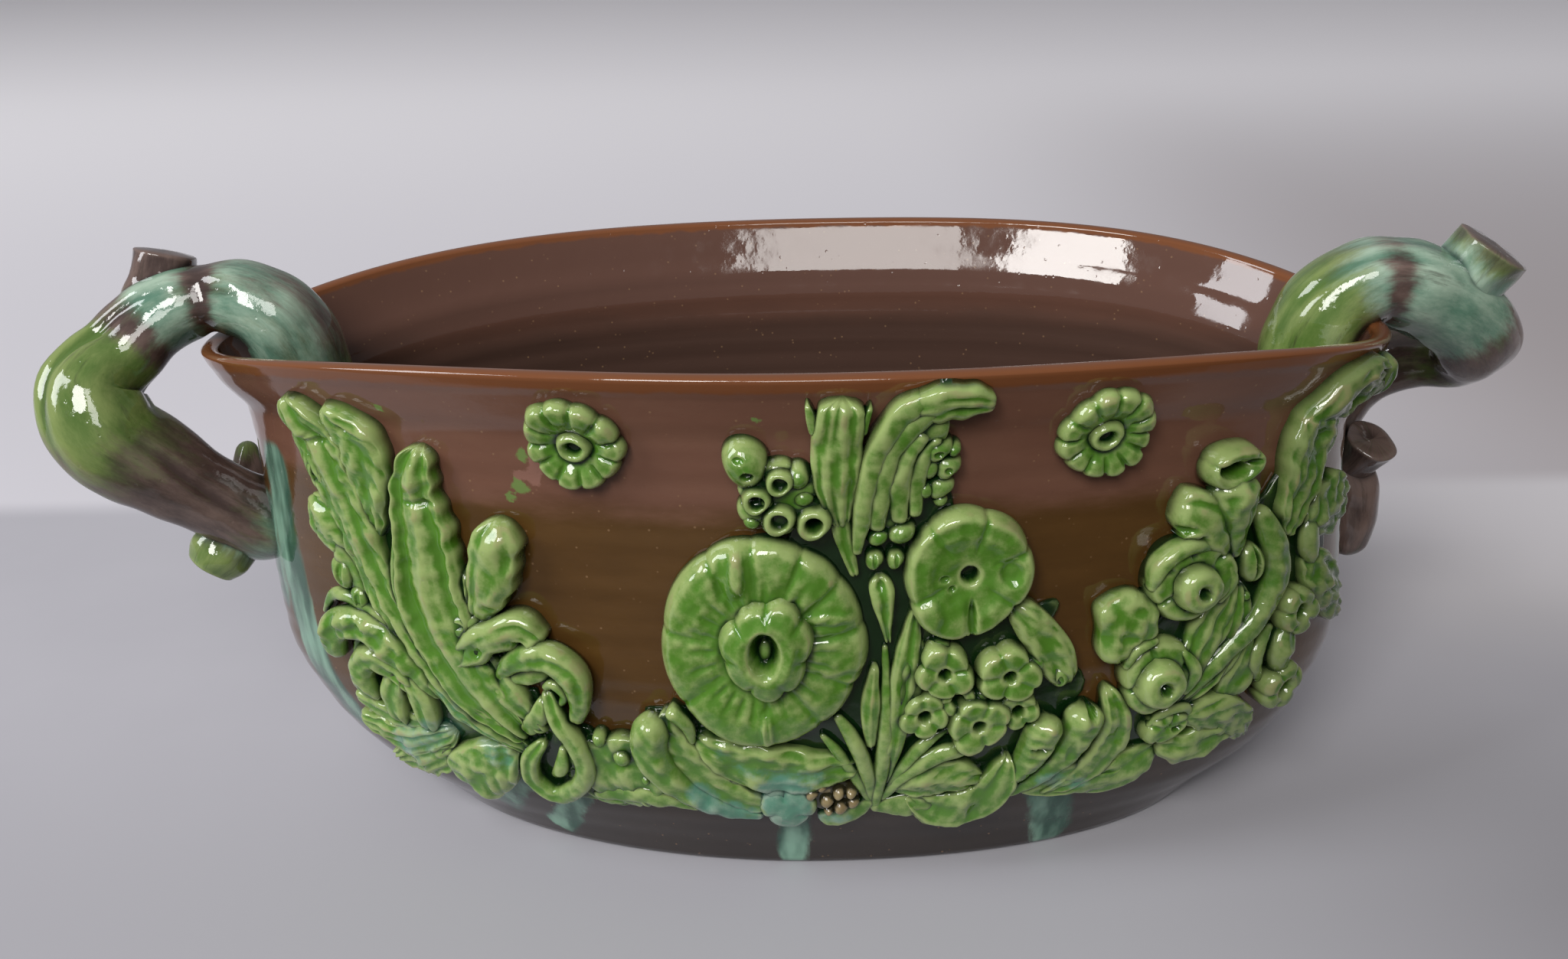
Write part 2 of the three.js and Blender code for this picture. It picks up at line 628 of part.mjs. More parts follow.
// Left spray
lay('acorn_bud', blade([[-89.5, 119], [-91.5, 107], [-97.5, 91]], [4, 7, 6.4, 4.6, 3.4],
  [4, 6, 6, 5, 3.6]),
  bead([-102.5, 87.5], [8, 5.4], 5.4, 0.25));
lay('upper_curl', cord([[-107, 76, 2.4], [-99, 81, 3], [-91, 87.5, 3.4], [-84, 88.6, 3.2],
  [-79.2, 86, 2.6]],
  [2.8, curlRadius * 1.1, curlRadius * 1.25, curlRadius * 1.2, 3]));
lay('middle_curl', cord([[-91, 76, 2.2], [-83.5, 81, 2.8], [-75, 80.6, 3.2], [-69.3, 75, 3.2],
  [-69.2, 66, 2.8], [-72.5, 61, 2.2]],
  [2.4, curlRadius * 1.2, curlRadius * 1.35, curlRadius * 1.3, curlRadius * 1.1, 2.6], { rings: 10 }));
lay('lower_curl', cord([[-79.5, 67, 2], [-77, 59, 2.4], [-72.8, 51, 2.6], [-73.6, 42, 2.6],
  [-80.5, 34.5, 2.4], [-88.5, 29.5, 2.2],
  [-92.6, 34, 2.2], [-90, 43, 2.4], [-83, 50.5, 2]],
  [2.4, 3, 3.3, 3.3, 3.2, 3, 3, 2.8, 2], { rings: 15 }));
lay('calla_leaf', blade([[-109.5, 142], [-114, 129], [-113, 114], [-112, 94], [-105, 72], [-92, 54]],
  [1.6, 9.4, 11.4, 11, 10, 9, 6], [3, 4.8, 5.6, 5.6, 5, 4.4, 3.4], { rings: 11, rib: -1.4 }));
lay('long_leaf', blade([[-146.5, 152.5], [-143, 137], [-136, 118], [-129.5, 97], [-119.5, 76],
  [-107, 59], [-90, 46.5]],
  [8, 9, 7.6, 6.4, 6, 5.6, 5, 3.4], [3.6, 4.6, 4.6, 4.2, 4, 3.8, 3.6, 3], { rings: 11, rib: 1 }),
  blade([[-134, 152], [-129.5, 141], [-128.5, 128], [-130, 113]], [4.6, 8, 7, 5, 3],
  [4, 5, 4.4, 3.8, 3], { rings: 7 }));
lay('left_leaflets', bead([-147, 130], [5.4, 6.8], 4.2, 0.4),
  blade([[-152, 120], [-145, 113.5], [-136.5, 106]],
  [4, 8.4, 7, 3], [3.6, 4.4, 4, 3], { rings: 7 }),
  blade([[-146, 126], [-142, 108], [-136, 88]], [3.4, 6, 5], [2.8, 4.4, 4], { rings: 6 }));
lay('curled_leaves', cord([[-117, 62, 1.6], [-127, 75, 2.2], [-138, 82, 2.4], [-148.5, 78, 2.4],
  [-152, 68, 2]],
  [3, 5.2, 6, 5.4, 4.2], { rings: 9 }),
  cord([[-119, 59, 1.6], [-129.5, 68, 2], [-136.5, 71, 2.2], [-141, 66, 2.2], [-139, 58, 1.8]],
  [3, 4.8, 5, 4.6, 3.4]));
lay('twin_leaves', blade([[-127, 66], [-131.5, 57], [-136, 45]], [3.4, 5.4, 5, 2.4],
  [4, 4.8, 4.4, 3], { rings: 7 }),
  blade([[-122.4, 64], [-123, 55], [-127, 46.5]], [3.2, 4.8, 4.2, 2], [4, 4.6, 4.2, 3], { rings: 6 }));
lay('ball_leaf', blade([[-97, 43], [-108, 36.5], [-122, 28.5]], [3.4, 7.6, 9, 5.4],
  [4, 5.4, 5.4, 4], { rings: 7 }));
lay('left_ruffle', blade([[-118, 46], [-136, 40], [-152, 44]], [5, 6.4, 3.4], [3.4, 4.2, 3.4],
  { rings: 6 }),
  blade([[-119, 42], [-132, 35], [-146, 31.5]], [4.6, 5.6, 3], [3.4, 4.2, 3.2], { rings: 6 }));
lay('left_band', blade([[-78, 37], [-68, 38.5], [-58, 39.5], [-44, 35]], [7, 11, 12, 10, 4],
  [2.4, 3, 3, 2.4], { rings: 7 }),
  bead([-60.2, 47.5], [4, 4], 4.6));

// Right spray
const roseHeart = 5;
const rose = [2.4, 4.6, 4.8, 4, 2];
layOnFlower('upper_rose', roseHeart, bloom([103, 98], [7.8, 8], rose, { sides: 12 }));
layOnFlower('lower_rose', roseHeart, bloom([93.6, 68.8], [7.8, 8.2], rose, { sides: 12 }));
lay('trumpets', bloom([114, 134], [9, 6], [1.4, 7, 4], { rings: 4, sides: 10 }),
  cord([[116.5, 107, 1.8], [116, 118, 2.2], [114.5, 131, 2.4]], [3.4, 5, 7.4], { rings: 6 }),
  cord([[115, 108, 1.6], [109, 114.5, 2.2], [101.4, 121.4, 2.4]], [3.4, 5.4, 6.8], { rings: 5 }));
lay('upper_rose_collar', bloom([103, 99.5], [14.6, 13], [roseHeart, roseHeart, roseHeart, 4.8, 2.6],
  { petals: 5, notch: 0.14, crease: 0.2, rings: 5, sides: 15, backRings: 2 }));
lay('lower_rose_collar', bloom([94.6, 69.4], [11.6, 12.4], [roseHeart, roseHeart, roseHeart, 4.6, 2.4],
  { petals: 4, notch: 0.12, crease: 0.2, rings: 5, sides: 16 }));
lay('lobed_leaf', bloom([84.6, 85.6], [7.8, 11], [4.4, 4.6, 4.4, 2.8],
  { petals: 5, notch: 0.2, crease: 0.3, phase: 1.4, rings: 5, sides: 15 }));
lay('hooked_stem', cord([[127.5, 116.5, 2], [132, 106, 2.8], [132.6, 95, 2.8], [126, 83, 2.6],
  [116, 73, 2.4], [103.5, 60, 2]],
  [3, 4.8, 4.8, 4.4, 4.2, 3], { rings: 10 }), bead([123.4, 101], [5.6, 7.2], 5.6));
lay('side_florets', floret(142.4, 81.6, 8.4, 0.5), floret(140, 56.5, 8.2, 0.9),
  cord([[142, 78, 1.4], [137.5, 69, 1.8], [139.5, 60, 1.4]], [3.4, 4.2, 3.4], { rings: 5 }));
lay('rim_leaf', blade([[138, 112], [141.5, 126], [144.5, 140], [150.5, 150], [159, 154]],
  [3.4, 6.6, 8, 8, 4.4],
  [4, 5, 5.4, 5, 4], { rings: 9, rib: -1 }));
lay('end_leaves', blade([[147, 108], [157, 114], [167, 119]], [3.6, 9.4, 8, 3.4],
  [3.6, 4.6, 4.4, 3], { rings: 7, rib: 1 }),
  blade([[148, 99], [156, 87], [167, 72]], [4.4, 7.4, 5.8, 2], [4, 5.4, 4.6, 3],
    { rings: 7, rib: 0.6 }),
  cord([[149, 112, 1.4], [147, 104, 1.6], [150, 95, 1.4]], [3.4, 3.4, 3.4], { rings: 5 }));
lay('fan_leaf', blade([[119, 93], [113, 78], [102, 60]], [6, 10, 9, 4], [3.4, 4.2, 4, 3],
  { rings: 7, rib: -0.8 }));
lay('small_rosette', bloom([101, 50.4], [9, 8.2], [3, 4.6, 4.4, 2.6],
  { petals: 4, notch: 0.24, crease: 0.35, rings: 5, sides: 16 }));
lay('long_low_leaf', blade([[80.5, 64], [83.5, 52], [80, 40], [70, 31.5]], [2, 4.6, 5.6, 4.6, 2],
  [3.4, 4.2, 4.2, 4, 3]));
lay('right_ruffle', blade([[106, 53.5], [121, 50], [135, 39]], [3, 6.4, 6, 2], [3.6, 4.6, 4.2, 3],
  { rib: 0.8 }),
  blade([[103, 42], [114, 40], [128, 43]], [5, 6.4, 4], [3.4, 4, 3.4], { rings: 6 }));
lay('right_band', blade([[60, 36], [76, 35.5], [90, 34], [101, 40]], [6, 7.6, 7.4, 5],
  [2.6, 3, 3, 2.6]));

// Grounds under the relief, which follow the bowl
const ground = (line, halfWidths, rings) => blade(line, halfWidths, [groundThickness],
  { rings, edge: 1, turns: sheetTurns });
layOnBowl('middle_ground', ground([[6, 141], [8, 132], [12, 118], [9, 100], [8, 84], [13, 66],
  [12, 48], [12, 33], [14, 25]],
  [14, 22, 33, 43, 48, 57, 60, 50, 26], 14));
layOnBowl('left_ground', ground([[-139, 140], [-135, 126], [-126, 98], [-116, 74], [-100, 54],
  [-76, 40], [-50, 33]],
  [14, 17, 21, 24, 19, 15, 9], 12));
layOnBowl('right_ground', ground([[148, 138], [145, 116], [134, 94], [117, 76], [99, 55], [84, 43],
  [73, 37.5]],
  [6, 15, 25, 24, 21, 12, 7], 11));

// Rosettes under the rim
const rosette = [4.6, 3, 4.6, 4.8, 2.8];
const rosetteRadius = 13.8;
const rosetteLook = { petals: 11, notch: 0.12, crease: 0.4, sides: 22 };
layOnBowl('left_rosette', bloom([-64.3, 145.6], [rosetteRadius, rosetteRadius], rosette, rosetteLook));
layOnBowl('right_rosette', bloom([75, 146], [rosetteRadius, rosetteRadius], rosette, rosetteLook));

const placed = [];
const bowlCutter = solid(turned(bowlRows(0.5 * clearance)));
garland.forEach(({ name, forms, seat }) => {
  const join = (grown, step) => forms.map((form, i) => form(grown,
    seat - grown + i * step)).reduce((a, b) => a.add(b));
  const whole = join(0, backStep);
  const corners = new THREE.BufferAttribute(whole.getMesh().vertProperties, 3);
  const box = new THREE.Box3().setFromBufferAttribute(corners);
  const cutters = placed.filter((other) => other.seat === seat && other.box.intersectsBox(box));
  const onWall = seat === groundSeat ? whole.subtract(bowlCutter) : whole;
  const trimmed = cutters.reduce((body, other) => body.subtract(other.grown), onWall);
  addPiece(name, mainBody(trimmed), glaze.green);
  placed.push({ box, seat, grown: join(cutterGrowth, 0) });
});

export default jardiniere;
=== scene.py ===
"""A glazed earthenware jardiniere: an oval bowl, two branch handles and a garland of flowers."""

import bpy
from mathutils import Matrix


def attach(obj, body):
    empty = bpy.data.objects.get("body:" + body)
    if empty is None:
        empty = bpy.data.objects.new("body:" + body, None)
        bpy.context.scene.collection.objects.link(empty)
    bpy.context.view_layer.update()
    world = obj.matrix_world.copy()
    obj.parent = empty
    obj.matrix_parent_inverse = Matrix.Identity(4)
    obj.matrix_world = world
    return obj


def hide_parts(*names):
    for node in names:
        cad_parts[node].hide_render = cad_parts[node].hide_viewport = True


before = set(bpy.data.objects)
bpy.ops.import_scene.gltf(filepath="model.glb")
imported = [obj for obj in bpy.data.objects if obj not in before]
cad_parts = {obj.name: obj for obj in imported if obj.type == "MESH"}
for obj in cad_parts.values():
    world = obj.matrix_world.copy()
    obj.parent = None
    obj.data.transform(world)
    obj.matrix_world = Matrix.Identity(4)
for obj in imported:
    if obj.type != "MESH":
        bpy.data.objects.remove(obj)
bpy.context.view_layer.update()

import math

import bmesh
import bpy
import numpy as np
from mathutils import Matrix, Vector
from mathutils.bvhtree import BVHTree

MM = 0.001
PI = math.pi

# The bowl's sizes in millimetres, and the powers that shape its oval, its dip and its right end
BOWL_HEIGHT = 164.0
RIM_HALF_LENGTH = 190.0
RIGHT_END_SHORT = 14.0
END_DIP = 13.5
WALL = 8.0
LIP = 5.5
LIP_ROUND = 1.4
FLOOR = 9.0
LEFT_BLUNTNESS = 1.9
RIGHT_BLUNTNESS = 2.2
DIP_POWER = 4.0
SHORT_POWER = 0.7

# The wall's levels, as shares of the height, with the half length and half depth at each
LEVELS = (0, 0.05, 0.12, 0.22, 0.38, 0.58, 0.76, 0.88, 0.95, 1)
HALF_LENGTHS = (129, 138.7, 154.2, 166.3, 176, 177.5, 177, 178.3, 186.5, 190)
HALF_DEPTHS = (69, 71, 75.1, 80.1, 85.5, 87.5, 89, 91, 94.5, 97)

# The garland's chart: u runs round the belly from the front's middle, v up the wall, and w out
CHART_LEFT_END = 211.8
CHART_RIGHT_END = 209.5
CHART_TOP = 164.0

# How far the chart runs on past its ends, in millimetres for each radian of turn behind them
BACK_RUN = 120

# The height off the bowl that the relief's heights are added to, and that of its hidden back
SEAT = 2.0
SUNK = -0.6

# How many steps measure a centre line or the belly's way round
FINE = 400

# A stem's foot, as a share of its width
CORD_FOOT = 0.85

# The thrower's spiral inside and rings outside, in millimetres from one to the next
SPIRAL_PITCH = 8.5
RING_PITCHES = (13, 7.3)

# The lower edge of the bare band under the lip, and the small step there, as shares of the height
BAND_EDGE = (0.975, 0.982)
BAND_STEP = (0.972, 0.980)

# Where the table turns into the far wall, and the dark floor in front into the table, in metres
# away from the camera; the camera sees no dark floor
TABLE_END = (0.221, 0.248)
DARK_FLOOR_END = (-0.172, -0.132)

# How far a point looks for walls that close it in, for pooled glaze and painted shade in recesses, and
# how far off its face it starts
POOL_AND_SHADE_REACH = 7 * MM
POOL_AND_SHADE_START = 0.25 * MM

# How often points are drawn towards their neighbours to find crests and to even out the pools of glaze
# and the painted shade
CREST_PASSES = 14
POOL_AND_SHADE_PASSES = 5

# The photograph's camera: its focal length and the photo's width in pixels, its place in
# millimetres, and its right and up
FOCAL_PIXELS = 2000
PHOTO_WIDTH = 2048
CAMERA_PLACE = (-10.27, -464.23, 282.72)
CAMERA_RIGHT = (0.99978, -0.00760, -0.01948)
CAMERA_UP = (0.02091, 0.36669, 0.93011)


def curve_at(places, values, slope, at):
    """The smooth curve through values at uneven places, with that slope at each."""
    i = np.clip(np.searchsorted(places, at, side="right") - 1, 0, len(places) - 2)
    span = places[i + 1] - places[i]
    p = (at - places[i]) / span
    q = 1 - p
    level = values[i] * (1 + 2 * p) * q**2 + values[i + 1] * p * p * (3 - 2 * p)
    return level + span * (slope[i] * p * q**2 - slope[i + 1] * p * p * q)


def through(stations, values):
    """A curve through the stations that never overshoots them."""
    x = np.asarray(stations, float)
    y = np.asarray(values, float)
    rise = np.diff(y) / np.diff(x)
    slope = np.zeros(len(y))
    slope[0] = rise[0]
    slope[-1] = rise[-1]
    for i in range(1, len(y) - 1):
        a, b = rise[i - 1], rise[i]
        if a * b > 0:
            slope[i] = 2 * a * b / (a + b)
    return lambda t: curve_at(x, y, slope, np.clip(np.asarray(t, float), x[0], x[-1]))


def spread(values):
    """Values spread evenly from the start of a piece to its end."""
    if len(values) == 1:
        return lambda t: np.full(np.shape(t), float(values[0]))
    return through(np.linspace(0, 1, len(values)), values)


def smooth(t, low, high):
    """0 below low, 1 above high and a soft step between."""
    p = np.clip((np.asarray(t, float) - low) / (high - low), 0, 1)
    return p * p * (3 - 2 * p)


def hump(t, middle, width):
    """1 at the middle, fading to either side."""
    return np.exp(-(((np.asarray(t, float) - middle) / width) ** 2))


def ripple(points, size, seed):
    """A slow unevenness, about -1 to 1, from a few crossed waves of that size in millimetres."""
    rng = np.random.default_rng(seed)
    total = np.zeros(len(points))
    for _ in range(7):
        way = rng.normal(size=points.shape[1])
        way *= rng.uniform(0.6, 1.7) / np.linalg.norm(way)
        total += np.sin(points @ way * (2 * PI / size) + rng.uniform(0, 2 * PI))
    return total / 4


half_length = through(LEVELS, HALF_LENGTHS)
half_depth = through(LEVELS, HALF_DEPTHS)


def on_oval(turn, level, inset=0.0, lift=0.0):
    """Points of the bowl's wall, in millimetres."""
    c = np.cos(turn)
    s = np.sin(turn)
    power = 2 / np.where(c < 0, LEFT_BLUNTNESS, RIGHT_BLUNTNESS)
    x = np.sign(c) * np.abs(c) ** power
    y = np.sign(s) * np.abs(s) ** power
    short = RIGHT_END_SHORT / RIM_HALF_LENGTH * np.abs(level) ** SHORT_POWER
    shorter = np.where(c < 0, 1.0, 1 - short)
    return np.stack(
        [
            (half_length(level) * shorter - inset) * x,
            (half_depth(level) - inset) * y,
            level * (BOWL_HEIGHT - END_DIP * np.abs(x) ** DIP_POWER) + lift,
        ],
        axis=-1,
    )


def belly_run(direction):
    """Turns from the front's middle to one end, and how far round the belly each lies."""
    turns = -0.5 * PI + direction * np.linspace(0, 0.5 * PI, FINE)
    points = on_oval(turns, np.full(FINE, 0.5))
    run = np.concatenate([[0], np.cumsum(np.linalg.norm(np.diff(points, axis=0), axis=1))])
    return turns, run / run[-1]


left_turns, left_shares = belly_run(-1)
right_turns, right_shares = belly_run(1)


def on_bowl(u, v, w):
    """Garland points: w millimetres off the bowl's face at the chart's place u, v."""
    u = np.asarray(u, float)
    level = np.clip(np.asarray(v, float) / CHART_TOP, 0, 1)
    left = np.interp(-u / CHART_LEFT_END, left_shares, left_turns)
    right = np.interp(u / CHART_RIGHT_END, right_shares, right_turns)
    turn = np.where(u < 0, left, right)
    step = 0.002
    aside = on_oval(turn + step, level) - on_oval(turn - step, level)
    up = on_oval(turn, np.minimum(level + step, 1)) - on_oval(turn, np.maximum(level - step, 0))
    out = np.cross(aside, up)
    out /= np.linalg.norm(out, axis=-1, keepdims=True)
    return on_oval(turn, level) + out * np.asarray(w, float)[..., None]


class Course:
    """The smooth centre line of a piece through its given points."""

    def __init__(self, points):
        p = np.asarray([[*q, 0.0][:3] for q in points], float)
        runs = np.linalg.norm(np.diff(p, axis=0), axis=1)
        places = np.concatenate([[0], np.cumsum(runs)])
        fine = np.linspace(0, places[-1], FINE)
        self.dense = np.stack(
            [curve_at(places, p[:, k], np.gradient(p[:, k], places), fine) for k in range(3)], axis=-1)
        steps = np.linalg.norm(np.diff(self.dense, axis=0), axis=1)
        self.length = steps.sum()
        self.share = np.concatenate([[0], np.cumsum(steps)]) / self.length

    def at(self, t):
        return np.stack([np.interp(t, self.share, self.dense[:, k]) for k in range(3)], axis=-1)

    def way(self, t):
        d = self.at(np.minimum(t + 0.015, 1)) - self.at(np.maximum(t - 0.015, 0))
        return d / np.linalg.norm(d, axis=-1, keepdims=True)


# Forms. Each starts as a ball whose vertices are moved to their places, so it is closed; the
# ball's poles are the two ends of a long form, or the back and front of a flower.
blanks = {}


def blank(sides, rings):
    """The turn round a ball, and the share of the way from pole to pole, of each vertex."""
    if (sides, rings) not in blanks:
        bm = bmesh.new()
        bmesh.ops.create_uvsphere(bm, u_segments=sides, v_segments=rings, radius=1)
        at = np.array([v.co[:] for v in bm.verts])
        ball = bpy.data.meshes.new("blank")
        bm.to_mesh(ball)
        bm.free()
        turn = np.arctan2(at[:, 1], at[:, 0])
        blanks[sides, rings] = turn, np.arccos(np.clip(-at[:, 2], -1, 1)) / PI, ball
    return blanks[sides, rings][:2]


def laid(sides, rings, u, v, w):
    """A form laid on the bowl, from its chart places."""
    return {"sides": sides, "rings": rings, "points": on_bowl(u, v, w), "u": u, "v": v, "w": w}


def rounded(share):
    """A quarter circle: 0 at 0, rising steeply at first and level at 1."""
    return np.sqrt(np.clip(1 - (1 - np.clip(share, 0, 1)) ** 2, 0, 1))


def ends_of(along, first, last, length):
    """1 along a form and rounding to 0 at each end, over about the half width there."""
    start = np.clip(along * length / max(first, 1.2), 0, 1)
    stop = np.clip((1 - along) * length / max(last, 1.2), 0, 1)
    return np.sqrt(np.clip(1 - (1 - start) ** 2, 0, 1) * np.clip(1 - (1 - stop) ** 2, 0, 1))


def eased(share):
    """Rings a little closer together at the ends."""
    return share - 0.05 * np.sin(2 * PI * share)


def dents(w, u, v, places):
    """Pits, or bumps where the depth is negative: (u, v, half width, half height, depth)."""
    for cu, cv, ru, rv, depth in places:
        d = np.sqrt(((u - cu) / ru) ** 2 + ((v - cv) / rv) ** 2)
        w = w - depth * (1 - smooth(d, 0.45, 1.1))
    return w


def blade(line, widths, heights, ribs=(), edge=0.55, flutes=0, flute=0.0, lobes=0, lobe=0.0,
          veins=0, vein=0.0, pits=(), seat=SEAT, uneven=0.35, point=1.5):
    """A leaf: its half widths and heights along the line, ribs or grooves as (place across,
    height, width), flutes along it, side veins, and lobes at its edges."""
    course = Course(line)
    sides = int(np.clip(max(widths) * 5.4, 30, 84))
    rings = int(np.clip(course.length / 0.8, 24, 160))
    turn, share = blank(sides, rings)
    along = eased(share)
    at = course.at(along)
    way = course.way(along)
    c = np.cos(turn)
    s = np.clip(np.sin(turn), 0, 1)
    seed = int(abs(line[0][0]) * 7 + line[0][1])
    ends = ends_of(along, widths[0] * point, widths[-1] * point, course.length)
    half = spread(widths)(along) * ends
    torn = np.stack([along * course.length, 4.0 * np.sign(c)], axis=-1)
    half = half * (1 + 0.07 * ripple(torn, 10, seed + 2))
    if lobes:
        half = half * (1 + lobe * np.sin(2 * PI * lobes * along + np.where(c > 0, 0, 1.9)))
    reach = np.sign(c) * np.abs(c) ** 0.9 * half
    u = at[:, 0] - way[:, 1] * reach
    v = at[:, 1] + way[:, 0] * reach
    body = spread(heights)(along) * (edge + (1 - edge) * s)
    for place, height, width in ribs:
        wander = 0.08 * np.sin(7 * along + place * 9)
        body = body + height * hump(c, place + wander, width) * (0.75 + 0.25 * np.sin(9 * along + seed))
    if flutes:
        body = body + flute * np.cos(flutes * PI * c + np.sin(5 * along))
    if veins:
        lines = np.abs(np.sin(PI * (veins * along - 1.6 * np.abs(c)))) ** 6
        body = body - vein * lines * smooth(s, 0.1, 0.5)
    place = np.stack([u, v], axis=-1)
    body = body + uneven * (ripple(place, 13, seed) + 0.4 * ripple(place, 5.5, seed + 1))
    wall = rounded(s / 0.3)
    w = SUNK + wall * np.sqrt(ends) * (seat - SUNK + np.maximum(body, 0.4))
    return laid(sides, rings, u, v, dents(w, u, v, pits))


def cord(line, radii, groove=0.0, pits=(), seat=SEAT, uneven=0.3, point=1.0):
    """A stem or curl of round section with a narrower foot; its line may rise off the bowl."""
    course = Course(line)
    sides = int(np.clip(max(radii) * 9, 28, 60))
    rings = int(np.clip(course.length / 0.8, 24, 150))
    turn, share = blank(sides, rings)
    along = eased(share)
    at = course.at(along)
    way = course.way(along)
    way /= np.linalg.norm(way[:, :2], axis=1, keepdims=True)
    c = np.cos(turn)
    s = np.sin(turn)
    seed = int(abs(line[0][0]) * 5)
    ends = ends_of(along, radii[0] * point, radii[-1] * point, course.length)
    r = spread(radii)(along) * ends
    under = np.clip(-s, 0, 1)
    reach = np.where(s < 0, np.sign(c) * np.abs(c) ** 0.55 * (1 - (1 - CORD_FOOT) * under), c) * r
    u = at[:, 0] - way[:, 1] * reach
    v = at[:, 1] + way[:, 0] * reach
    place = np.stack([u, v], axis=-1)
    axis = seat + at[:, 2]
    r = r * (1 + uneven * (0.35 * ripple(place, 11, seed) + 0.2 * ripple(place, 5, seed + 1)))
    wander = 0.3 * np.sin(6 * along + seed)
    channel = groove * hump(c, wander, 0.36) * smooth(s, 0.4, 1) * (0.6 + 0.4 * np.sin(8 * along + seed))
    w = np.where(s < 0, axis - under * (axis - SUNK), axis + s * r - channel)
    return laid(sides, rings, u, v, dents(w, u, v, pits))


def petal_share(turn, joins):
    """The share of the way across its petal, the petal's width in turn and its number."""
    joins = np.sort(np.mod(np.radians(joins), 2 * PI))
    joins = np.concatenate([[joins[-1] - 2 * PI], joins, [joins[0] + 2 * PI]])
    turn = np.mod(turn, 2 * PI)
    i = np.clip(np.searchsorted(joins, turn, side="right") - 1, 0, len(joins) - 2)
    span = joins[i + 1] - joins[i]
    return (turn - joins[i]) / span, span, i % (len(joins) - 2)


def bloom(centre, radii, profile, petals=0, phase=0.0, joins=(), notch=0.1, crease=0.8, dome=0.8,
          crease_from=0.3, tilt=0.0, pits=(), seat=SEAT, wobble=0.02, edge=0.12, tip=0.0, veins=0,
          cut=0.8):
    """A flower, rosette or bead seen face on: heights from its middle to its edge, petals that
    are domed between creases, short veins round its middle, and pits."""
    size = max(radii)
    sides = int(np.clip(size * 8, 32, 224))
    rings = int(np.clip(size * 2.4, 18, 64))
    turn, share = blank(sides, rings)
    r = np.where(share < 0.2, share / 0.2, 1 - (share - 0.2) / 0.8)
    front = share > 0.2
    seed = int(abs(centre[0] * 3) + centre[1])
    rim = 1.0 + wobble * (np.sin(2 * turn + phase) + np.sin(3 * turn + 2.1 * phase + 1))
    body = spread(profile)(r)
    if petals:
        joins = phase + np.arange(petals) * 360 / petals
    if len(joins):
        f, span, number = petal_share(turn, joins)
        lifts = np.random.default_rng(seed).uniform(-1, 1, len(joins))[number]
        petal = np.sin(PI * f) ** 0.55
        outer = smooth(r, crease_from, crease_from + 0.2)
        rim = rim * (1 - notch * (1 - petal) * smooth(r, 0.3, 1)) * (1 + 0.025 * lifts * petal * outer)
        off_join = np.minimum(f, 1 - f) * span * r * size
        body = body - crease * hump(off_join, 0, cut) * outer * (0.4 + 0.6 * r)
        middle = np.sin(PI * np.clip((r - crease_from) / (1 - crease_from), 0, 1))
        body = body + dome * (petal - 0.75) * middle + 0.3 * lifts * petal * outer
        body = body + tip * petal * smooth(r, 0.72, 0.95)
    if veins:
        lines = np.abs(np.cos(0.5 * veins * turn + 0.6 * np.sin(3 * turn))) ** 4
        body = body - 0.5 * lines * smooth(r, 0.4, 0.5) * smooth(0.8 - r, 0, 0.25)
    across = radii[0] * rim * r * np.cos(turn)
    upright = radii[1] * rim * r * np.sin(turn)
    u = centre[0] + across * math.cos(tilt) - upright * math.sin(tilt)
    v = centre[1] + across * math.sin(tilt) + upright * math.cos(tilt)
    wall = rounded((1 - r) / edge)
    place = np.stack([u, v], axis=-1)
    body = body + 0.2 * ripple(place, 9, seed) + 0.1 * ripple(place, 4.5, seed + 1)
    w = np.where(front, SUNK + wall * (seat - SUNK + np.maximum(body, 0.3)), SUNK)
    return laid(sides, rings, u, v, np.where(front, dents(w, u, v, pits), w))


def bead(centre, radii, height, tilt=0.0, pits=(), seat=SEAT, **look):
    """A round or oval bead, bud or lump."""
    dome = [height * k for k in (1, 0.97, 0.86, 0.64, 0.3)]
    return bloom(centre, radii, dome, tilt=tilt, pits=pits, seat=seat, edge=0.3, **look)


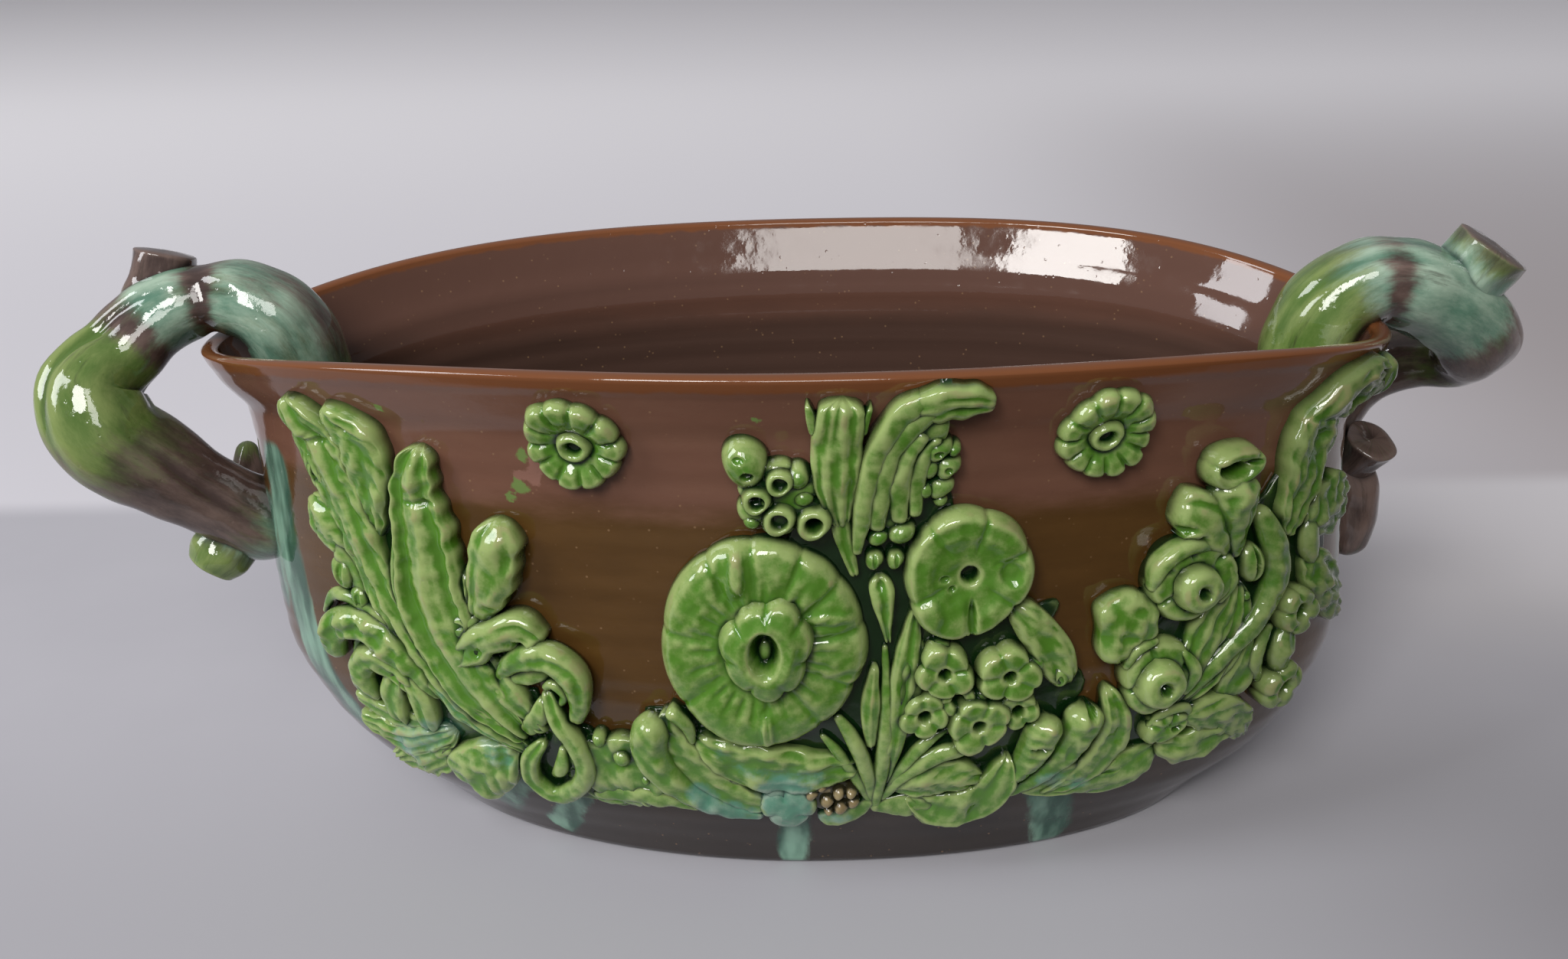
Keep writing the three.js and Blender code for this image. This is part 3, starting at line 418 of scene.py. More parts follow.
def rod(points, radii, sides=72, rings=160, cut=0.0, knots=(), grooves=(), waists=(), seed=1,
        uneven=0.05, facets=0.025):
    """A branch of round section through points in millimetres. A cut end is a shallow dish of
    that depth with a rolled lip; a knot is (share along, turn, size, height), a groove runs
    along it as (share along, reach, turn, depth) and a waist round it as (share, reach, depth)."""
    course = Course(points)
    turn, share = blank(sides, rings)
    dish = 0.1 if cut else 0.0
    place = eased(share)
    along = np.clip(place / (1 - dish), 0, 1)
    ways = course.way(np.linspace(0, 1, FINE))
    normal = np.cross(ways[0], (0.0, 1.0, 0.3))
    normals = []
    for way in ways:
        normal = normal - way * (normal @ way)
        normal = normal / np.linalg.norm(normal)
        normals.append(normal)
    i = np.rint(along * (FINE - 1)).astype(int)
    n = np.array(normals)[i]
    b = np.cross(ways[i], n)
    side = n * np.cos(turn)[:, None] + b * np.sin(turn)[:, None]
    last = 0.0 if cut else radii[-1]
    r = spread(radii)(along) * ends_of(along, radii[0], last, course.length)
    spine = course.at(along)
    skin = spine + 9 * side
    shape = 1 + uneven * ripple(skin, 42, seed) + 0.5 * uneven * ripple(skin, 15, seed + 5)
    shape = shape + facets * (np.cos(3 * turn + 5 * along) + np.cos(5 * turn - 8 * along + seed))
    for share_along, where, size, height in knots:
        across = r * np.sin(0.5 * (turn - where)) * 2
        away = np.hypot((along - share_along) * course.length, across)
        shape = shape + height / np.maximum(r, 1) * hump(away, 0, size)
    for share_along, span, where, depth in grooves:
        across = r * np.sin(0.5 * (turn - where - 2.5 * (along - share_along))) * 2
        shape = shape - depth / np.maximum(r, 1) * hump(across, 0, 2.6) * hump(along, share_along, span)
    for share_along, span, depth in waists:
        shape = shape - depth * hump(along, share_along, span)
    if cut:
        k = np.clip((place - (1 - dish)) / dish, 0, 1)
        closing = np.where(k > 0, np.clip(1 - k, 0, 1) ** 0.8, 1)
        shape = shape * closing * (1 + 0.07 * hump(place, 1 - dish, 0.02))
        spine = spine - ways[-1] * (cut * smooth(k, 0.15, 0.7))[:, None]
    run = np.stack([along * course.length * 0.35, 12 * np.cos(turn), 12 * np.sin(turn)], axis=-1)
    at = spine + side * (r * shape)[:, None]
    return {"sides": sides, "rings": rings, "points": at, "along": along, "turn": turn, "run": run}


# Finishing a piece
finished = []


def close_to(u, v, strokes):
    """Drawn strokes (points, half width, strength) that fade to 0 at their edges."""
    best = np.zeros(np.shape(u))
    for points, half, strength in strokes:
        for (u0, v0), (u1, v1) in zip(points[:-1], points[1:]):
            du, dv = u1 - u0, v1 - v0
            t = np.clip(((u - u0) * du + (v - v0) * dv) / (du * du + dv * dv + 1e-9), 0, 1)
            d = np.hypot(u - u0 - t * du, v - v0 - t * dv)
            best = np.maximum(best, strength * (1 - smooth(d / half, 0.3, 1.5)))
    return best


def set_values(mesh, name, values):
    kind = "FLOAT_VECTOR" if values.ndim == 2 else "FLOAT"
    held = mesh.attributes.new(name, kind, "POINT")
    held.data.foreach_set("vector" if values.ndim == 2 else "value", values.astype(np.float32).ravel())


def make_piece(name, forms, finish, nodes, marks):
    """Joins forms into one piece that stands for its nodes; marks are values on its points."""
    bm = bmesh.new()
    for form in forms:
        ball = blanks[form["sides"], form["rings"]][2]
        ball.vertices.foreach_set("co", (form["points"] * MM).astype(np.float32).ravel())
        bm.from_mesh(ball)
    mesh = bpy.data.meshes.new(name)
    bm.to_mesh(mesh)
    bm.free()
    mesh.polygons.foreach_set("use_smooth", np.ones(len(mesh.polygons), bool))
    mesh.update()
    for mark, values in marks.items():
        set_values(mesh, mark, values)
    mesh.materials.append(finish)
    piece = bpy.data.objects.new(name, mesh)
    bpy.context.scene.collection.objects.link(piece)
    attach(piece, "root")
    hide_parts(*nodes)
    finished.append(piece)


# Node helpers for the finishes
def node(tree, kind, inputs=(), **settings):
    made = tree.nodes.new(kind)
    for key, value in settings.items():
        setattr(made, key, value)
    for key, value in dict(inputs).items():
        socket = made.inputs[key]
        if isinstance(value, bpy.types.NodeSocket):
            tree.links.new(value, socket)
        else:
            socket.default_value = value
    return made


def noise(tree, place, scale, detail=3.0, rough=0.5):
    inputs = {"Vector": place, "Scale": scale, "Detail": detail, "Roughness": rough}
    return node(tree, "ShaderNodeTexNoise", inputs).outputs["Fac"]


def worked(tree, how, a, b):
    return node(tree, "ShaderNodeMath", {0: a, 1: b}, operation=how).outputs[0]


def times(tree, a, b):
    return worked(tree, "MULTIPLY", a, b)


def plus(tree, a, b):
    return worked(tree, "ADD", a, b)


def minus(tree, a, b):
    return worked(tree, "SUBTRACT", a, b)


def swing_of(tree, value, size):
    """A value from 0 to 1 turned into a swing either way from 0."""
    return times(tree, minus(tree, value, 0.5), size)


def ranged(tree, value, low, high, to_low=0.0, to_high=1.0):
    inputs = {"Value": value, "From Min": low, "From Max": high, "To Min": to_low, "To Max": to_high}
    return node(tree, "ShaderNodeMapRange", inputs, interpolation_type="SMOOTHSTEP").outputs["Result"]


def mixed(tree, factor, a, b):
    return node(tree, "ShaderNodeMix", {0: factor, 6: a, 7: b}, data_type="RGBA").outputs[2]


def scaled(tree, place, scale):
    return node(tree, "ShaderNodeMapping", {"Vector": place, "Scale": scale}).outputs["Vector"]


def flecks(tree, place, scale, part, low, high):
    """Small round specks in a few cells; that part of each cell's random colour picks them."""
    cells = node(tree, "ShaderNodeTexVoronoi", {"Vector": place, "Scale": scale})
    lucky = node(tree, "ShaderNodeSeparateColor", {0: cells.outputs["Color"]}).outputs[part]
    near = ranged(tree, cells.outputs["Distance"], 0.1, 0.24, 1.0, 0.0)
    return times(tree, ranged(tree, lucky, low, high), near)


def value_of(tree, name, part="Fac"):
    return node(tree, "ShaderNodeAttribute", attribute_name=name).outputs[part]


def new_group(name, inputs, outputs):
    group = bpy.data.node_groups.new(name, "ShaderNodeTree")
    for label, kind, start in inputs:
        socket = group.interface.new_socket(label, in_out="INPUT", socket_type="NodeSocket" + kind)
        if start is not None:
            socket.default_value = start
    for label, kind in outputs:
        group.interface.new_socket(label, in_out="OUTPUT", socket_type="NodeSocket" + kind)
    return group, group.nodes.new("NodeGroupInput").outputs, group.nodes.new("NodeGroupOutput").inputs


def rgb(r, g, b):
    return (r, g, b, 1.0)


def make_glaze_skin():
    """The shiny skin that all the glazes share: slow waves, fine dimples and pinholes."""
    group, given, out = new_group(
        "glaze_skin", [("Place", "Vector", None)], [("Height", "Float"), ("Roughness", "Float")])
    place = given["Place"]
    slow = noise(group, place, 70.0, 2.0)
    waves = times(group, noise(group, place, 230.0, 2.0), 0.22)
    holes = flecks(group, place, 420.0, "Red", 0.86, 0.9)
    fine = times(group, noise(group, place, 900.0, 2.0), 0.05)
    height = plus(group, slow, plus(group, fine, waves))
    height = minus(group, height, times(group, holes, 0.12))
    group.links.new(height, out["Height"])
    group.links.new(ranged(group, noise(group, place, 140.0), 0.3, 0.75, 0.03, 0.12), out["Roughness"])
    return group


def make_ragged_mask():
    """A painted mask with the flowing, broken edge of one glaze run over another."""
    group, given, out = new_group(
        "ragged_mask",
        [("Mask", "Float", 0.0), ("Place", "Vector", None), ("Size", "Float", 60.0),
         ("Blur", "Float", 0.14)],
        [("Mask", "Float")],
    )
    rough = noise(group, given["Place"], given["Size"], 6.0, 0.66)
    swung = plus(group, given["Mask"], swing_of(group, rough, 1.6))
    low = minus(group, 0.52, given["Blur"])
    high = plus(group, 0.52, given["Blur"])
    held = ranged(group, given["Mask"], 0.02, 0.2)
    group.links.new(times(group, ranged(group, swung, low, high), held), out["Mask"])
    return group


def make_pooled_and_shaded_glaze():
    """A coloured glaze that is pale and thin on the crests, and dark where it pools and where shade is
    painted into recesses.
    """
    group, given, out = new_group(
        "pooled_and_shaded_glaze",
        [("Thin", "Color", None), ("Middle", "Color", None), ("Deep", "Color", None),
         ("Crest", "Float", 0.0), ("Pool", "Float", 0.0), ("Place", "Vector", None),
         ("Grain", "Float", 75.0)],
        [("Color", "Color")],
    )
    cloud = noise(group, given["Place"], given["Grain"], 6.0, 0.68)
    cloud = swing_of(group, cloud, 2.2)
    crest = ranged(group, plus(group, given["Crest"], cloud), 0.0, 1.1)
    lapped = plus(group, given["Pool"], times(group, cloud, 0.22))
    # Dark where glaze pools and where shade is painted into recesses
    pool_and_shade = ranged(group, lapped, 0.12, 0.8)
    body = mixed(group, crest, given["Middle"], given["Thin"])
    group.links.new(mixed(group, pool_and_shade, body, given["Deep"]), out["Color"])
    return group


glaze_skin = make_glaze_skin()
ragged_mask = make_ragged_mask()
pooled_and_shaded_glaze = make_pooled_and_shaded_glaze()


def grouped(tree, group, **inputs):
    made = tree.nodes.new("ShaderNodeGroup")
    made.node_tree = group
    for key, value in inputs.items():
        if isinstance(value, bpy.types.NodeSocket):
            tree.links.new(value, made.inputs[key])
        else:
            made.inputs[key].default_value = value
    return made.outputs


def new_finish(name):
    finish = bpy.data.materials.new(name)
    finish.use_nodes = True
    tree = finish.node_tree
    shader = tree.nodes["Principled BSDF"]
    shader.inputs["IOR"].default_value = 1.5
    shader.inputs["Coat Weight"].default_value = 0.15
    shader.inputs["Coat Roughness"].default_value = 0.03
    place = node(tree, "ShaderNodeTexCoord").outputs["Object"]
    return finish, tree, shader, place


def put_on(tree, shader, place, color, depth=0.00035):
    """Sets a finish's colour and gives it the shared glaze skin."""
    skin = grouped(tree, glaze_skin, Place=place)
    bump = node(tree, "ShaderNodeBump", {"Height": skin["Height"], "Distance": depth, "Strength": 1.0})
    tree.links.new(bump.outputs["Normal"], shader.inputs["Normal"])
    tree.links.new(bump.outputs["Normal"], shader.inputs["Coat Normal"])
    tree.links.new(color, shader.inputs["Base Color"])
    tree.links.new(skin["Roughness"], shader.inputs["Roughness"])


def make_green_glaze():
    finish, tree, shader, place = new_finish("green_glaze")
    crest, pool_and_shade, teal = (value_of(tree, key) for key in ("crest", "pool_and_shade", "teal"))
    # Its darkest colour stands for pooled glaze and for painted shade in recesses
    green = grouped(
        tree, pooled_and_shaded_glaze, Thin=rgb(0.250, 0.330, 0.112), Middle=rgb(0.064, 0.170, 0.015),
        Deep=rgb(0.004, 0.018, 0.004), Crest=crest, Pool=pool_and_shade, Place=place, Grain=150.0,
    )["Color"]
    turquoise = grouped(
        tree, pooled_and_shaded_glaze, Thin=rgb(0.24, 0.34, 0.26), Middle=rgb(0.075, 0.21, 0.14),
        Deep=rgb(0.010, 0.05, 0.035), Crest=crest, Pool=pool_and_shade, Place=place, Grain=110.0,
    )["Color"]
    patch = grouped(tree, ragged_mask, Mask=teal, Place=place, Size=90.0, Blur=0.25)["Mask"]
    color = mixed(tree, patch, green, turquoise)
    # The garland's right end is painted darker: painted shade where less light falls
    right_end_shade = ranged(tree, node(tree, "ShaderNodeSeparateXYZ", {0: place}).outputs["X"], 0.09, 0.17)
    color = mixed(tree, times(tree, right_end_shade, 0.56), color, rgb(0.010, 0.020, 0.006))
    rubbed = plus(tree, crest, times(tree, noise(tree, place, 130.0, 5.0), 1.6))
    rubbed = minus(tree, rubbed, times(tree, pool_and_shade, 2.0))
    worn = times(tree, ranged(tree, rubbed, 1.74, 2.0), 0.4)
    put_on(tree, shader, place, mixed(tree, worn, color, rgb(0.28, 0.22, 0.12)), depth=0.0004)
    return finish


def make_brown_glaze():
    finish, tree, shader, place = new_finish("brown_glaze")
    height = node(tree, "ShaderNodeSeparateXYZ", {0: place}).outputs["Z"]
    inside, lip, teal, green, chip = (
        value_of(tree, key) for key in ("inside", "lip", "teal", "green", "chip"))
    cloud = noise(tree, scaled(tree, place, (0.5, 0.5, 1.8)), 60.0, 5.0, 0.62)
    upper = mixed(tree, cloud, rgb(0.110, 0.047, 0.030), rgb(0.150, 0.074, 0.048))
    middle = mixed(tree, cloud, rgb(0.048, 0.022, 0.005), rgb(0.094, 0.046, 0.012))
    lower = mixed(tree, cloud, rgb(0.018, 0.015, 0.014), rgb(0.036, 0.027, 0.022))
    shifted = plus(tree, height, swing_of(tree, cloud, 0.012))
    outer = mixed(tree, ranged(tree, shifted, 0.120, 0.129), middle, upper)
    outer = mixed(tree, ranged(tree, shifted, 0.012, 0.060), lower, outer)
    rings = noise(tree, scaled(tree, place, (3.0, 3.0, 150.0)), 1.0, 2.0)
    inner = mixed(tree, rings, rgb(0.044, 0.024, 0.018), rgb(0.072, 0.041, 0.031))
    inner = mixed(tree, ranged(tree, shifted, 0.126, 0.140), inner, rgb(0.090, 0.043, 0.030))
    body = mixed(tree, inside, outer, inner)
    grain = flecks(tree, place, 520.0, "Green", 0.80, 0.95)
    body = mixed(tree, times(tree, grain, 0.42), body, rgb(0.28, 0.17, 0.09))
    swing = swing_of(tree, noise(tree, place, 160.0, 4.0), 0.8)
    worn = ranged(tree, plus(tree, lip, swing), 0.4, 0.8)
    body = mixed(tree, worn, body, rgb(0.150, 0.052, 0.018))
    drawn = scaled(tree, place, (1.0, 1.0, 0.22))
    run = grouped(tree, ragged_mask, Mask=teal, Place=drawn, Size=85.0, Blur=0.24)["Mask"]
    streak = ranged(tree, noise(tree, drawn, 120.0, 3.0, 0.45), 0.38, 0.68)
    milky = mixed(tree, streak, rgb(0.020, 0.075, 0.052), rgb(0.20, 0.36, 0.27))
    body = mixed(tree, times(tree, run, 0.9), body, milky)
    spatter = grouped(tree, ragged_mask, Mask=green, Place=place, Size=260.0)["Mask"]
    body = mixed(tree, spatter, body, rgb(0.12, 0.18, 0.05))
    bare = grouped(tree, ragged_mask, Mask=chip, Place=place, Size=260.0)["Mask"]
    body = mixed(tree, bare, body, rgb(0.20, 0.10, 0.075))
    put_on(tree, shader, place, body, depth=0.00018)
    return finish


def make_branch_glaze():
    finish, tree, shader, place = new_finish("branch_glaze")
    run = value_of(tree, "run", "Vector")
    teal, leaf, umber, pool_and_shade, crest = (
        value_of(tree, key) for key in ("teal", "leaf", "umber", "pool_and_shade", "crest"))

    # Each coat's darkest colour stands for pooled glaze and for painted shade in recesses
    def coat(thin, middle, deep_and_shaded):
        return grouped(tree, pooled_and_shaded_glaze, Thin=thin, Middle=middle, Deep=deep_and_shaded, Crest=crest,
                       Pool=pool_and_shade, Place=run, Grain=0.16)["Color"]

    def spread_of(mask, size):
        return grouped(tree, ragged_mask, Mask=mask, Place=run, Size=size, Blur=0.3)["Mask"]

    olive = coat(rgb(0.13, 0.15, 0.07), rgb(0.055, 0.062, 0.028), rgb(0.014, 0.015, 0.010))
    green = coat(rgb(0.18, 0.235, 0.075), rgb(0.068, 0.125, 0.025), rgb(0.012, 0.026, 0.008))
    sea = coat(rgb(0.30, 0.40, 0.31), rgb(0.085, 0.18, 0.125), rgb(0.02, 0.045, 0.035))
    purple = coat(rgb(0.145, 0.100, 0.085), rgb(0.050, 0.032, 0.028), rgb(0.014, 0.009, 0.009))
    color = mixed(tree, spread_of(leaf, 0.10), olive, green)
    color = mixed(tree, spread_of(teal, 0.13), color, sea)
    color = mixed(tree, spread_of(umber, 0.17), color, purple)
    streaks = ranged(tree, noise(tree, scaled(tree, run, (0.6, 1.6, 1.6)), 0.22, 6.0, 0.7), 0.54, 0.72)
    color = mixed(tree, times(tree, streaks, 0.6), color, rgb(0.026, 0.022, 0.016))
    put_on(tree, shader, place, color, depth=0.0005)
    return finish


def make_seed_glaze():
    finish, tree, shader, place = new_finish("seed_glaze")
    body = mixed(tree, noise(tree, place, 300.0, 3.0), rgb(0.13, 0.085, 0.035), rgb(0.30, 0.25, 0.13))
    swing = times(tree, noise(tree, place, 500.0), 0.2)
    # Dark where glaze pools and where shade is painted between the seeds
    dark = ranged(tree, plus(tree, value_of(tree, "pool_and_shade"), swing), 0.25, 0.7)
    put_on(tree, shader, place, mixed(tree, dark, body, rgb(0.020, 0.018, 0.008)))
    return finish


green_glaze = make_green_glaze()
brown_glaze = make_brown_glaze()
branch_glaze = make_branch_glaze()
seed_glaze = make_seed_glaze()


# The bowl
def chart_place(turn):
    """The chart's u for a turn round the bowl; the back half lies beyond the chart's ends."""
    away = np.mod(turn + 0.5 * PI + PI, 2 * PI) - PI
    right = np.interp(np.clip(away, 0, 0.5 * PI), right_turns + 0.5 * PI, right_shares) * CHART_RIGHT_END
    left = np.interp(np.clip(-away, 0, 0.5 * PI), -(left_turns + 0.5 * PI), left_shares) * CHART_LEFT_END
    past = np.maximum(np.abs(away) - 0.5 * PI, 0) * BACK_RUN
    return np.where(away < 0, -left - past, right + past)


def make_bowl():
    """The thrown bowl: foot, wall, rolled lip, inside wall and floor, squeezed to its oval."""
    sides, rings = 360, 262
    turn, share = blank(sides, rings)
    # Where the underside, the outer wall, the lip and the inner wall end, on the ball's way from
    # pole to pole; the floor is the rest
    foot, wall, lip, inner = 0.07, 0.56, 0.63, 0.88
    level = np.zeros(len(share))
    inset = np.zeros(len(share))
    lift = np.zeros(len(share))
    shrink = np.ones(len(share))
    under = share < foot
    shrink[under] = share[under] / foot
    outer = (share >= foot) & (share < wall)
    level[outer] = (share[outer] - foot) / (wall - foot)
    rolled = (share >= wall) & (share < lip)
    t = (share[rolled] - wall) / (lip - wall)
    level[rolled] = 1
    inset[rolled] = 0.5 * LIP * (1 - np.cos(PI * t))
    lift[rolled] = LIP_ROUND * np.sin(PI * t)
    floor_level = FLOOR / BOWL_HEIGHT
    cove = 0.01
    in_wall = (share >= lip) & (share < inner)
    t = (share[in_wall] - lip) / (inner - lip)
    level[in_wall] = 1 - t * (1 - floor_level - cove)
    thick = through((0, 0.065, 0.115, 0.22, 0.8, 1), (38, 24, 11.2, WALL, WALL, LIP))
    inset[in_wall] = thick(level[in_wall])
    base = share >= inner
    t = (share[base] - inner) / (1 - inner)
    level[base] = (floor_level + cove) * (1 - t) ** 3
    inset[base] = thick(floor_level + cove)
    lift[base] = FLOOR * (1 - (1 - t) ** 3)
    shrink[base] = 1 - t
    inside = smooth(share, lip - 0.02, lip + 0.01)
    spiral = np.sin(2 * PI * (level * BOWL_HEIGHT / SPIRAL_PITCH + turn / (2 * PI)))
    inset = inset - 0.28 * spiral * in_wall * smooth(1 - level, 0.03, 0.1)
    outer_rings = sum(np.sin(2 * PI * level * BOWL_HEIGHT / pitch) for pitch in RING_PITCHES)
    inset = inset + 0.05 * outer_rings * outer * smooth(1 - level, 0.02, 0.1)
    inset = inset + 0.3 * outer * (1 - smooth(level, *BAND_STEP)) * smooth(level, 0.90, 0.95)
    at = on_oval(turn, level, inset, lift)
    at = at * np.stack([shrink, shrink, np.ones(len(share))], axis=-1)
    dented = 0.35 * ripple(at, 120, 3) * smooth(level, 0, 0.1) * (level < 0.97) * outer
    at[:, 1] -= np.sign(at[:, 1]) * 0.5 * np.abs(dented)
    u, v = chart_place(turn), level * CHART_TOP

    # Drawn marks: turquoise runs at the two ends and under the garland, green specks, chips
    ends = [
        ([(-178, 128), (-176, 96), (-172, 60), (-168, 40)], 9.0, 1.0),
        ([(-192, 110), (-190, 80)], 8.0, 0.9),
        ([(182, 118), (180, 98), (175, 76)], 5.5, 0.7),
    ]
    drips = [
        ([(-96, 30), (-112, 20), (-128, 11)], 4.5, 0.75),
        ([(-84, 24), (-97, 14), (-110, 7)], 4.5, 1.0),
        ([(-12, 26), (-11, 14), (-14, 5)], 6.5, 1.0),
        ([(68, 32), (78, 18), (92, 4)], 7.0, 0.95),
        ([(-74, 27), (-54, 25)], 1.6, 0.7),
    ]
    specks = [([(-80.5, 141), (-81, 139)], 1.7, 1.0), ([(-83, 133), (-86, 127)], 1.5, 1.0),
              ([(-84, 131), (-82, 130)], 2.0, 1.0), ([(-120, 153), (-119, 152)], 0.9, 1.0),
              ([(-16, 153), (-15, 150)], 0.8, 0.9)]
    chips = [([(-77, 138), (-79, 133)], 2.6, 1.0), ([(-79, 133), (-85, 134)], 1.6, 0.8)]
    marks = {
        "inside": inside,
        "lip": np.maximum(1.15 * hump(share, 0.5 * (wall + lip), 0.03),
                          0.95 * smooth(level, *BAND_EDGE) * (share < lip)),
        "teal": close_to(u, v, drips + ends) * (1 - inside),
        "green": close_to(u, v, specks) * (1 - inside),
        "chip": close_to(u, v, chips) * (1 - inside),
    }
    form = {"sides": sides, "rings": rings, "points": at}
    make_piece("glazed_bowl", [form], brown_glaze, ["bowl"], marks)


make_bowl()


# Handles
def make_branch_piece(name, form, nodes, zones):
    """A handle piece; zones give how much of each glaze lies at (along, turn)."""
    along, turn = form["along"], form["turn"]
    marks = {key: np.clip(zones[key](along, turn), 0, 1.3) for key in ("teal", "leaf", "umber")}
    marks["run"] = form["run"]
    make_piece(name, [form], branch_glaze, nodes, marks)


def zone(*parts):
    """A glaze's share along a branch: (middle, half width, strength) humps."""
    return lambda along, turn: sum(k * hump(along, m, h) for m, h, k in parts)


LEFT_BRANCH = [
    (-171.5, 4, 108), (-163.5, 4, 119), (-162, 2, 143.5), (-167, 0, 157), (-178, 0, 163.5),
    (-189, -1, 164.2), (-201, -3, 160.5), (-213, -9, 150.5), (-221, -17, 140.5), (-216, -22, 127.5),
    (-203, -21, 116), (-189.5, -17, 105), (-178, -12, 95.4), (-167.5, -6, 87.3),
]
LEFT_RADII = (9.5, 13, 14.5, 14.5, 12.6, 11.3, 12, 13, 15.5, 15, 13.4, 12.5, 13, 14.3)
RIGHT_BRANCH = [
    (164.6, 2, 104), (157.6, 2, 118), (155.9, 0, 141.8), (161.9, 0, 154.2), (173.3, 0, 161.3),
    (187.9, 1, 158.9), (203.9, 5, 150.7), (214.9, 12, 139.5), (215.4, 24, 131), (205.9, 35, 126.5),
    (192.1, 42, 119), (180.6, 40, 108), (170.6, 31, 97), (160.6, 22, 90),
]
RIGHT_RADII = (9.5, 13, 14.5, 14.5, 14.5, 14, 14.5, 13.6, 12, 11.5, 11.5, 12, 13, 14.3)


def make_handles():
    none = zone((0.5, 0.1, 0.0))
    left = rod(
        LEFT_BRANCH, LEFT_RADII, sides=84, rings=260, seed=3, uneven=0.05,
        knots=((0.50, 1.0, 10, 1.2), (0.66, 2.5, 11, 1.4), (0.30, -1.0, 10, 1.0), (0.75, 0.2, 9, 1.3)),
        grooves=((0.56, 0.11, 2.6, 2.2), (0.60, 0.12, 0.4, 1.6), (0.80, 0.1, 1.8, 1.2)),
        waists=((0.375, 0.022, 0.12),))
    make_branch_piece("glazed_left_branch", left, ["left_handle_branch"], {
        "teal": zone((0.02, 0.05, 0.9), (0.28, 0.12, 0.85), (0.44, 0.05, 0.75), (0.97, 0.06, 0.7)),
        "leaf": zone((0.10, 0.09, 1.0), (0.58, 0.09, 1.1), (0.68, 0.04, 0.7)),
        "umber": lambda a, t: 0.75 * hump(a, 0.375, 0.02) + 0.8 * hump(a, 0.49, 0.035)
        + 1.0 * hump(a, 0.83, 0.11) + 0.7 * hump(a, 0.68, 0.1) * (0.5 + 0.5 * np.cos(t + 2.0)) ** 2
        + 0.6 * hump(a, 0.26, 0.12) * (0.5 + 0.5 * np.cos(t - 2.9)) ** 4})
    stub = rod([(-205.5, 0.4, 152.5), (-204.4, 2.4, 161.5), (-202.4, 4.6, 171), (-200.8, 6.2, 178.2)],
               (16, 14, 10.2, 9.2), sides=64, rings=80, cut=2.0, seed=8, uneven=0.05)
    make_branch_piece("glazed_left_stub", stub, ["left_handle_top_stub"], {
        "teal": zone((0.0, 0.4, 1.0)), "leaf": none, "umber": zone((0.85, 0.45, 1.15))})
    thorn = rod([(-184.5, 2, 96), (-187.1, 9, 104), (-187.9, 14, 112)], (7, 5.2, 2.8), sides=40,
                rings=50, seed=9)
    make_branch_piece("glazed_left_thorn", thorn, ["left_handle_thorn"], {
        "teal": none, "leaf": zone((0.9, 0.3, 0.5)), "umber": zone((0.3, 0.5, 1.0))})
    knob = rod([(-180.5, -13, 96), (-188.5, -16, 88), (-192.6, -17.8, 83), (-194.4, -18.6, 80.6)],
               (10, 9.6, 9.8, 7.2), sides=56, rings=60, cut=1.2, seed=10, uneven=0.09)
    make_branch_piece("glazed_left_knob", knob, ["left_handle_knob"], {
        "teal": zone((0.2, 0.4, 0.7)), "leaf": zone((0.9, 0.4, 1.0)), "umber": zone((0.1, 0.2, 0.8))})

    right = rod(
        RIGHT_BRANCH, RIGHT_RADII, sides=84, rings=260, seed=5, uneven=0.05,
        knots=((0.36, 1.2, 10, 1.2), (0.55, 3.0, 11, 1.4), (0.24, -1.6, 10, 1.0), (0.7, 0.6, 9, 1.3)),
        grooves=((0.30, 0.1, 0.8, 1.4), (0.46, 0.1, 3.4, 1.8)), waists=((0.335, 0.03, 0.06),))
    make_branch_piece("glazed_right_branch", right, ["right_handle_branch"], {
        "teal": zone((0.36, 0.09, 1.0), (0.45, 0.07, 0.9), (0.02, 0.04, 0.6), (0.97, 0.06, 0.5)),
        "leaf": zone((0.17, 0.13, 1.2), (0.64, 0.05, 0.5)),
        "umber": lambda a, t: 0.7 * hump(a, 0.33, 0.02) * (0.5 + 0.5 * np.cos(t - 1.2))
        + 0.8 * hump(a, 0.26, 0.1) * (0.5 + 0.5 * np.cos(t - 2.9)) ** 4
        + 0.9 * hump(a, 0.55, 0.06) + 1.0 * hump(a, 0.8, 0.16)})
    stub = rod([(199.5, 4, 152.5), (204, 3.2, 160), (207.6, 2, 166.6), (211.2, 0.8, 172.6)],
               (16, 13.6, 12.2, 12.4), sides=64, rings=90, cut=1.6, seed=11, uneven=0.06)
    make_branch_piece("glazed_right_stub", stub, ["right_handle_top_stub"], {
        "teal": zone((0.35, 0.5, 1.0)), "leaf": zone((0.7, 0.2, 0.65)),
        "umber": lambda a, t: 0.9 * hump(a, 1.0, 0.07) + 0.6 * (0.5 + 0.5 * np.cos(t - 4.2)) ** 3})
    thorn = rod([(178.6, 30, 88), (184.2, 22.6, 93.5), (185.6, 17.5, 99.5), (186.6, 15, 104)],
                (8.6, 8.2, 7.4, 8.8), sides=56, rings=60, cut=1.4, seed=12, uneven=0.10, facets=0.02)
    make_branch_piece("glazed_right_thorn", thorn, ["right_handle_thorn"], {
        "teal": zone((0.95, 0.06, 0.5)), "leaf": none, "umber": zone((0.5, 0.8, 1.2))})
    knob = rod([(177, 27, 97), (183.4, 25.4, 87), (185.8, 23.6, 74), (184.4, 21.6, 58.6)],
               (9, 9.0, 7.8, 5.2), sides=48, rings=60, seed=13, uneven=0.10, facets=0.02)
    make_branch_piece("glazed_right_knob", knob, ["right_handle_knob"], {
        "teal": none, "leaf": zone((1.0, 0.12, 0.4)), "umber": zone((0.4, 0.8, 1.2))})


make_handles()

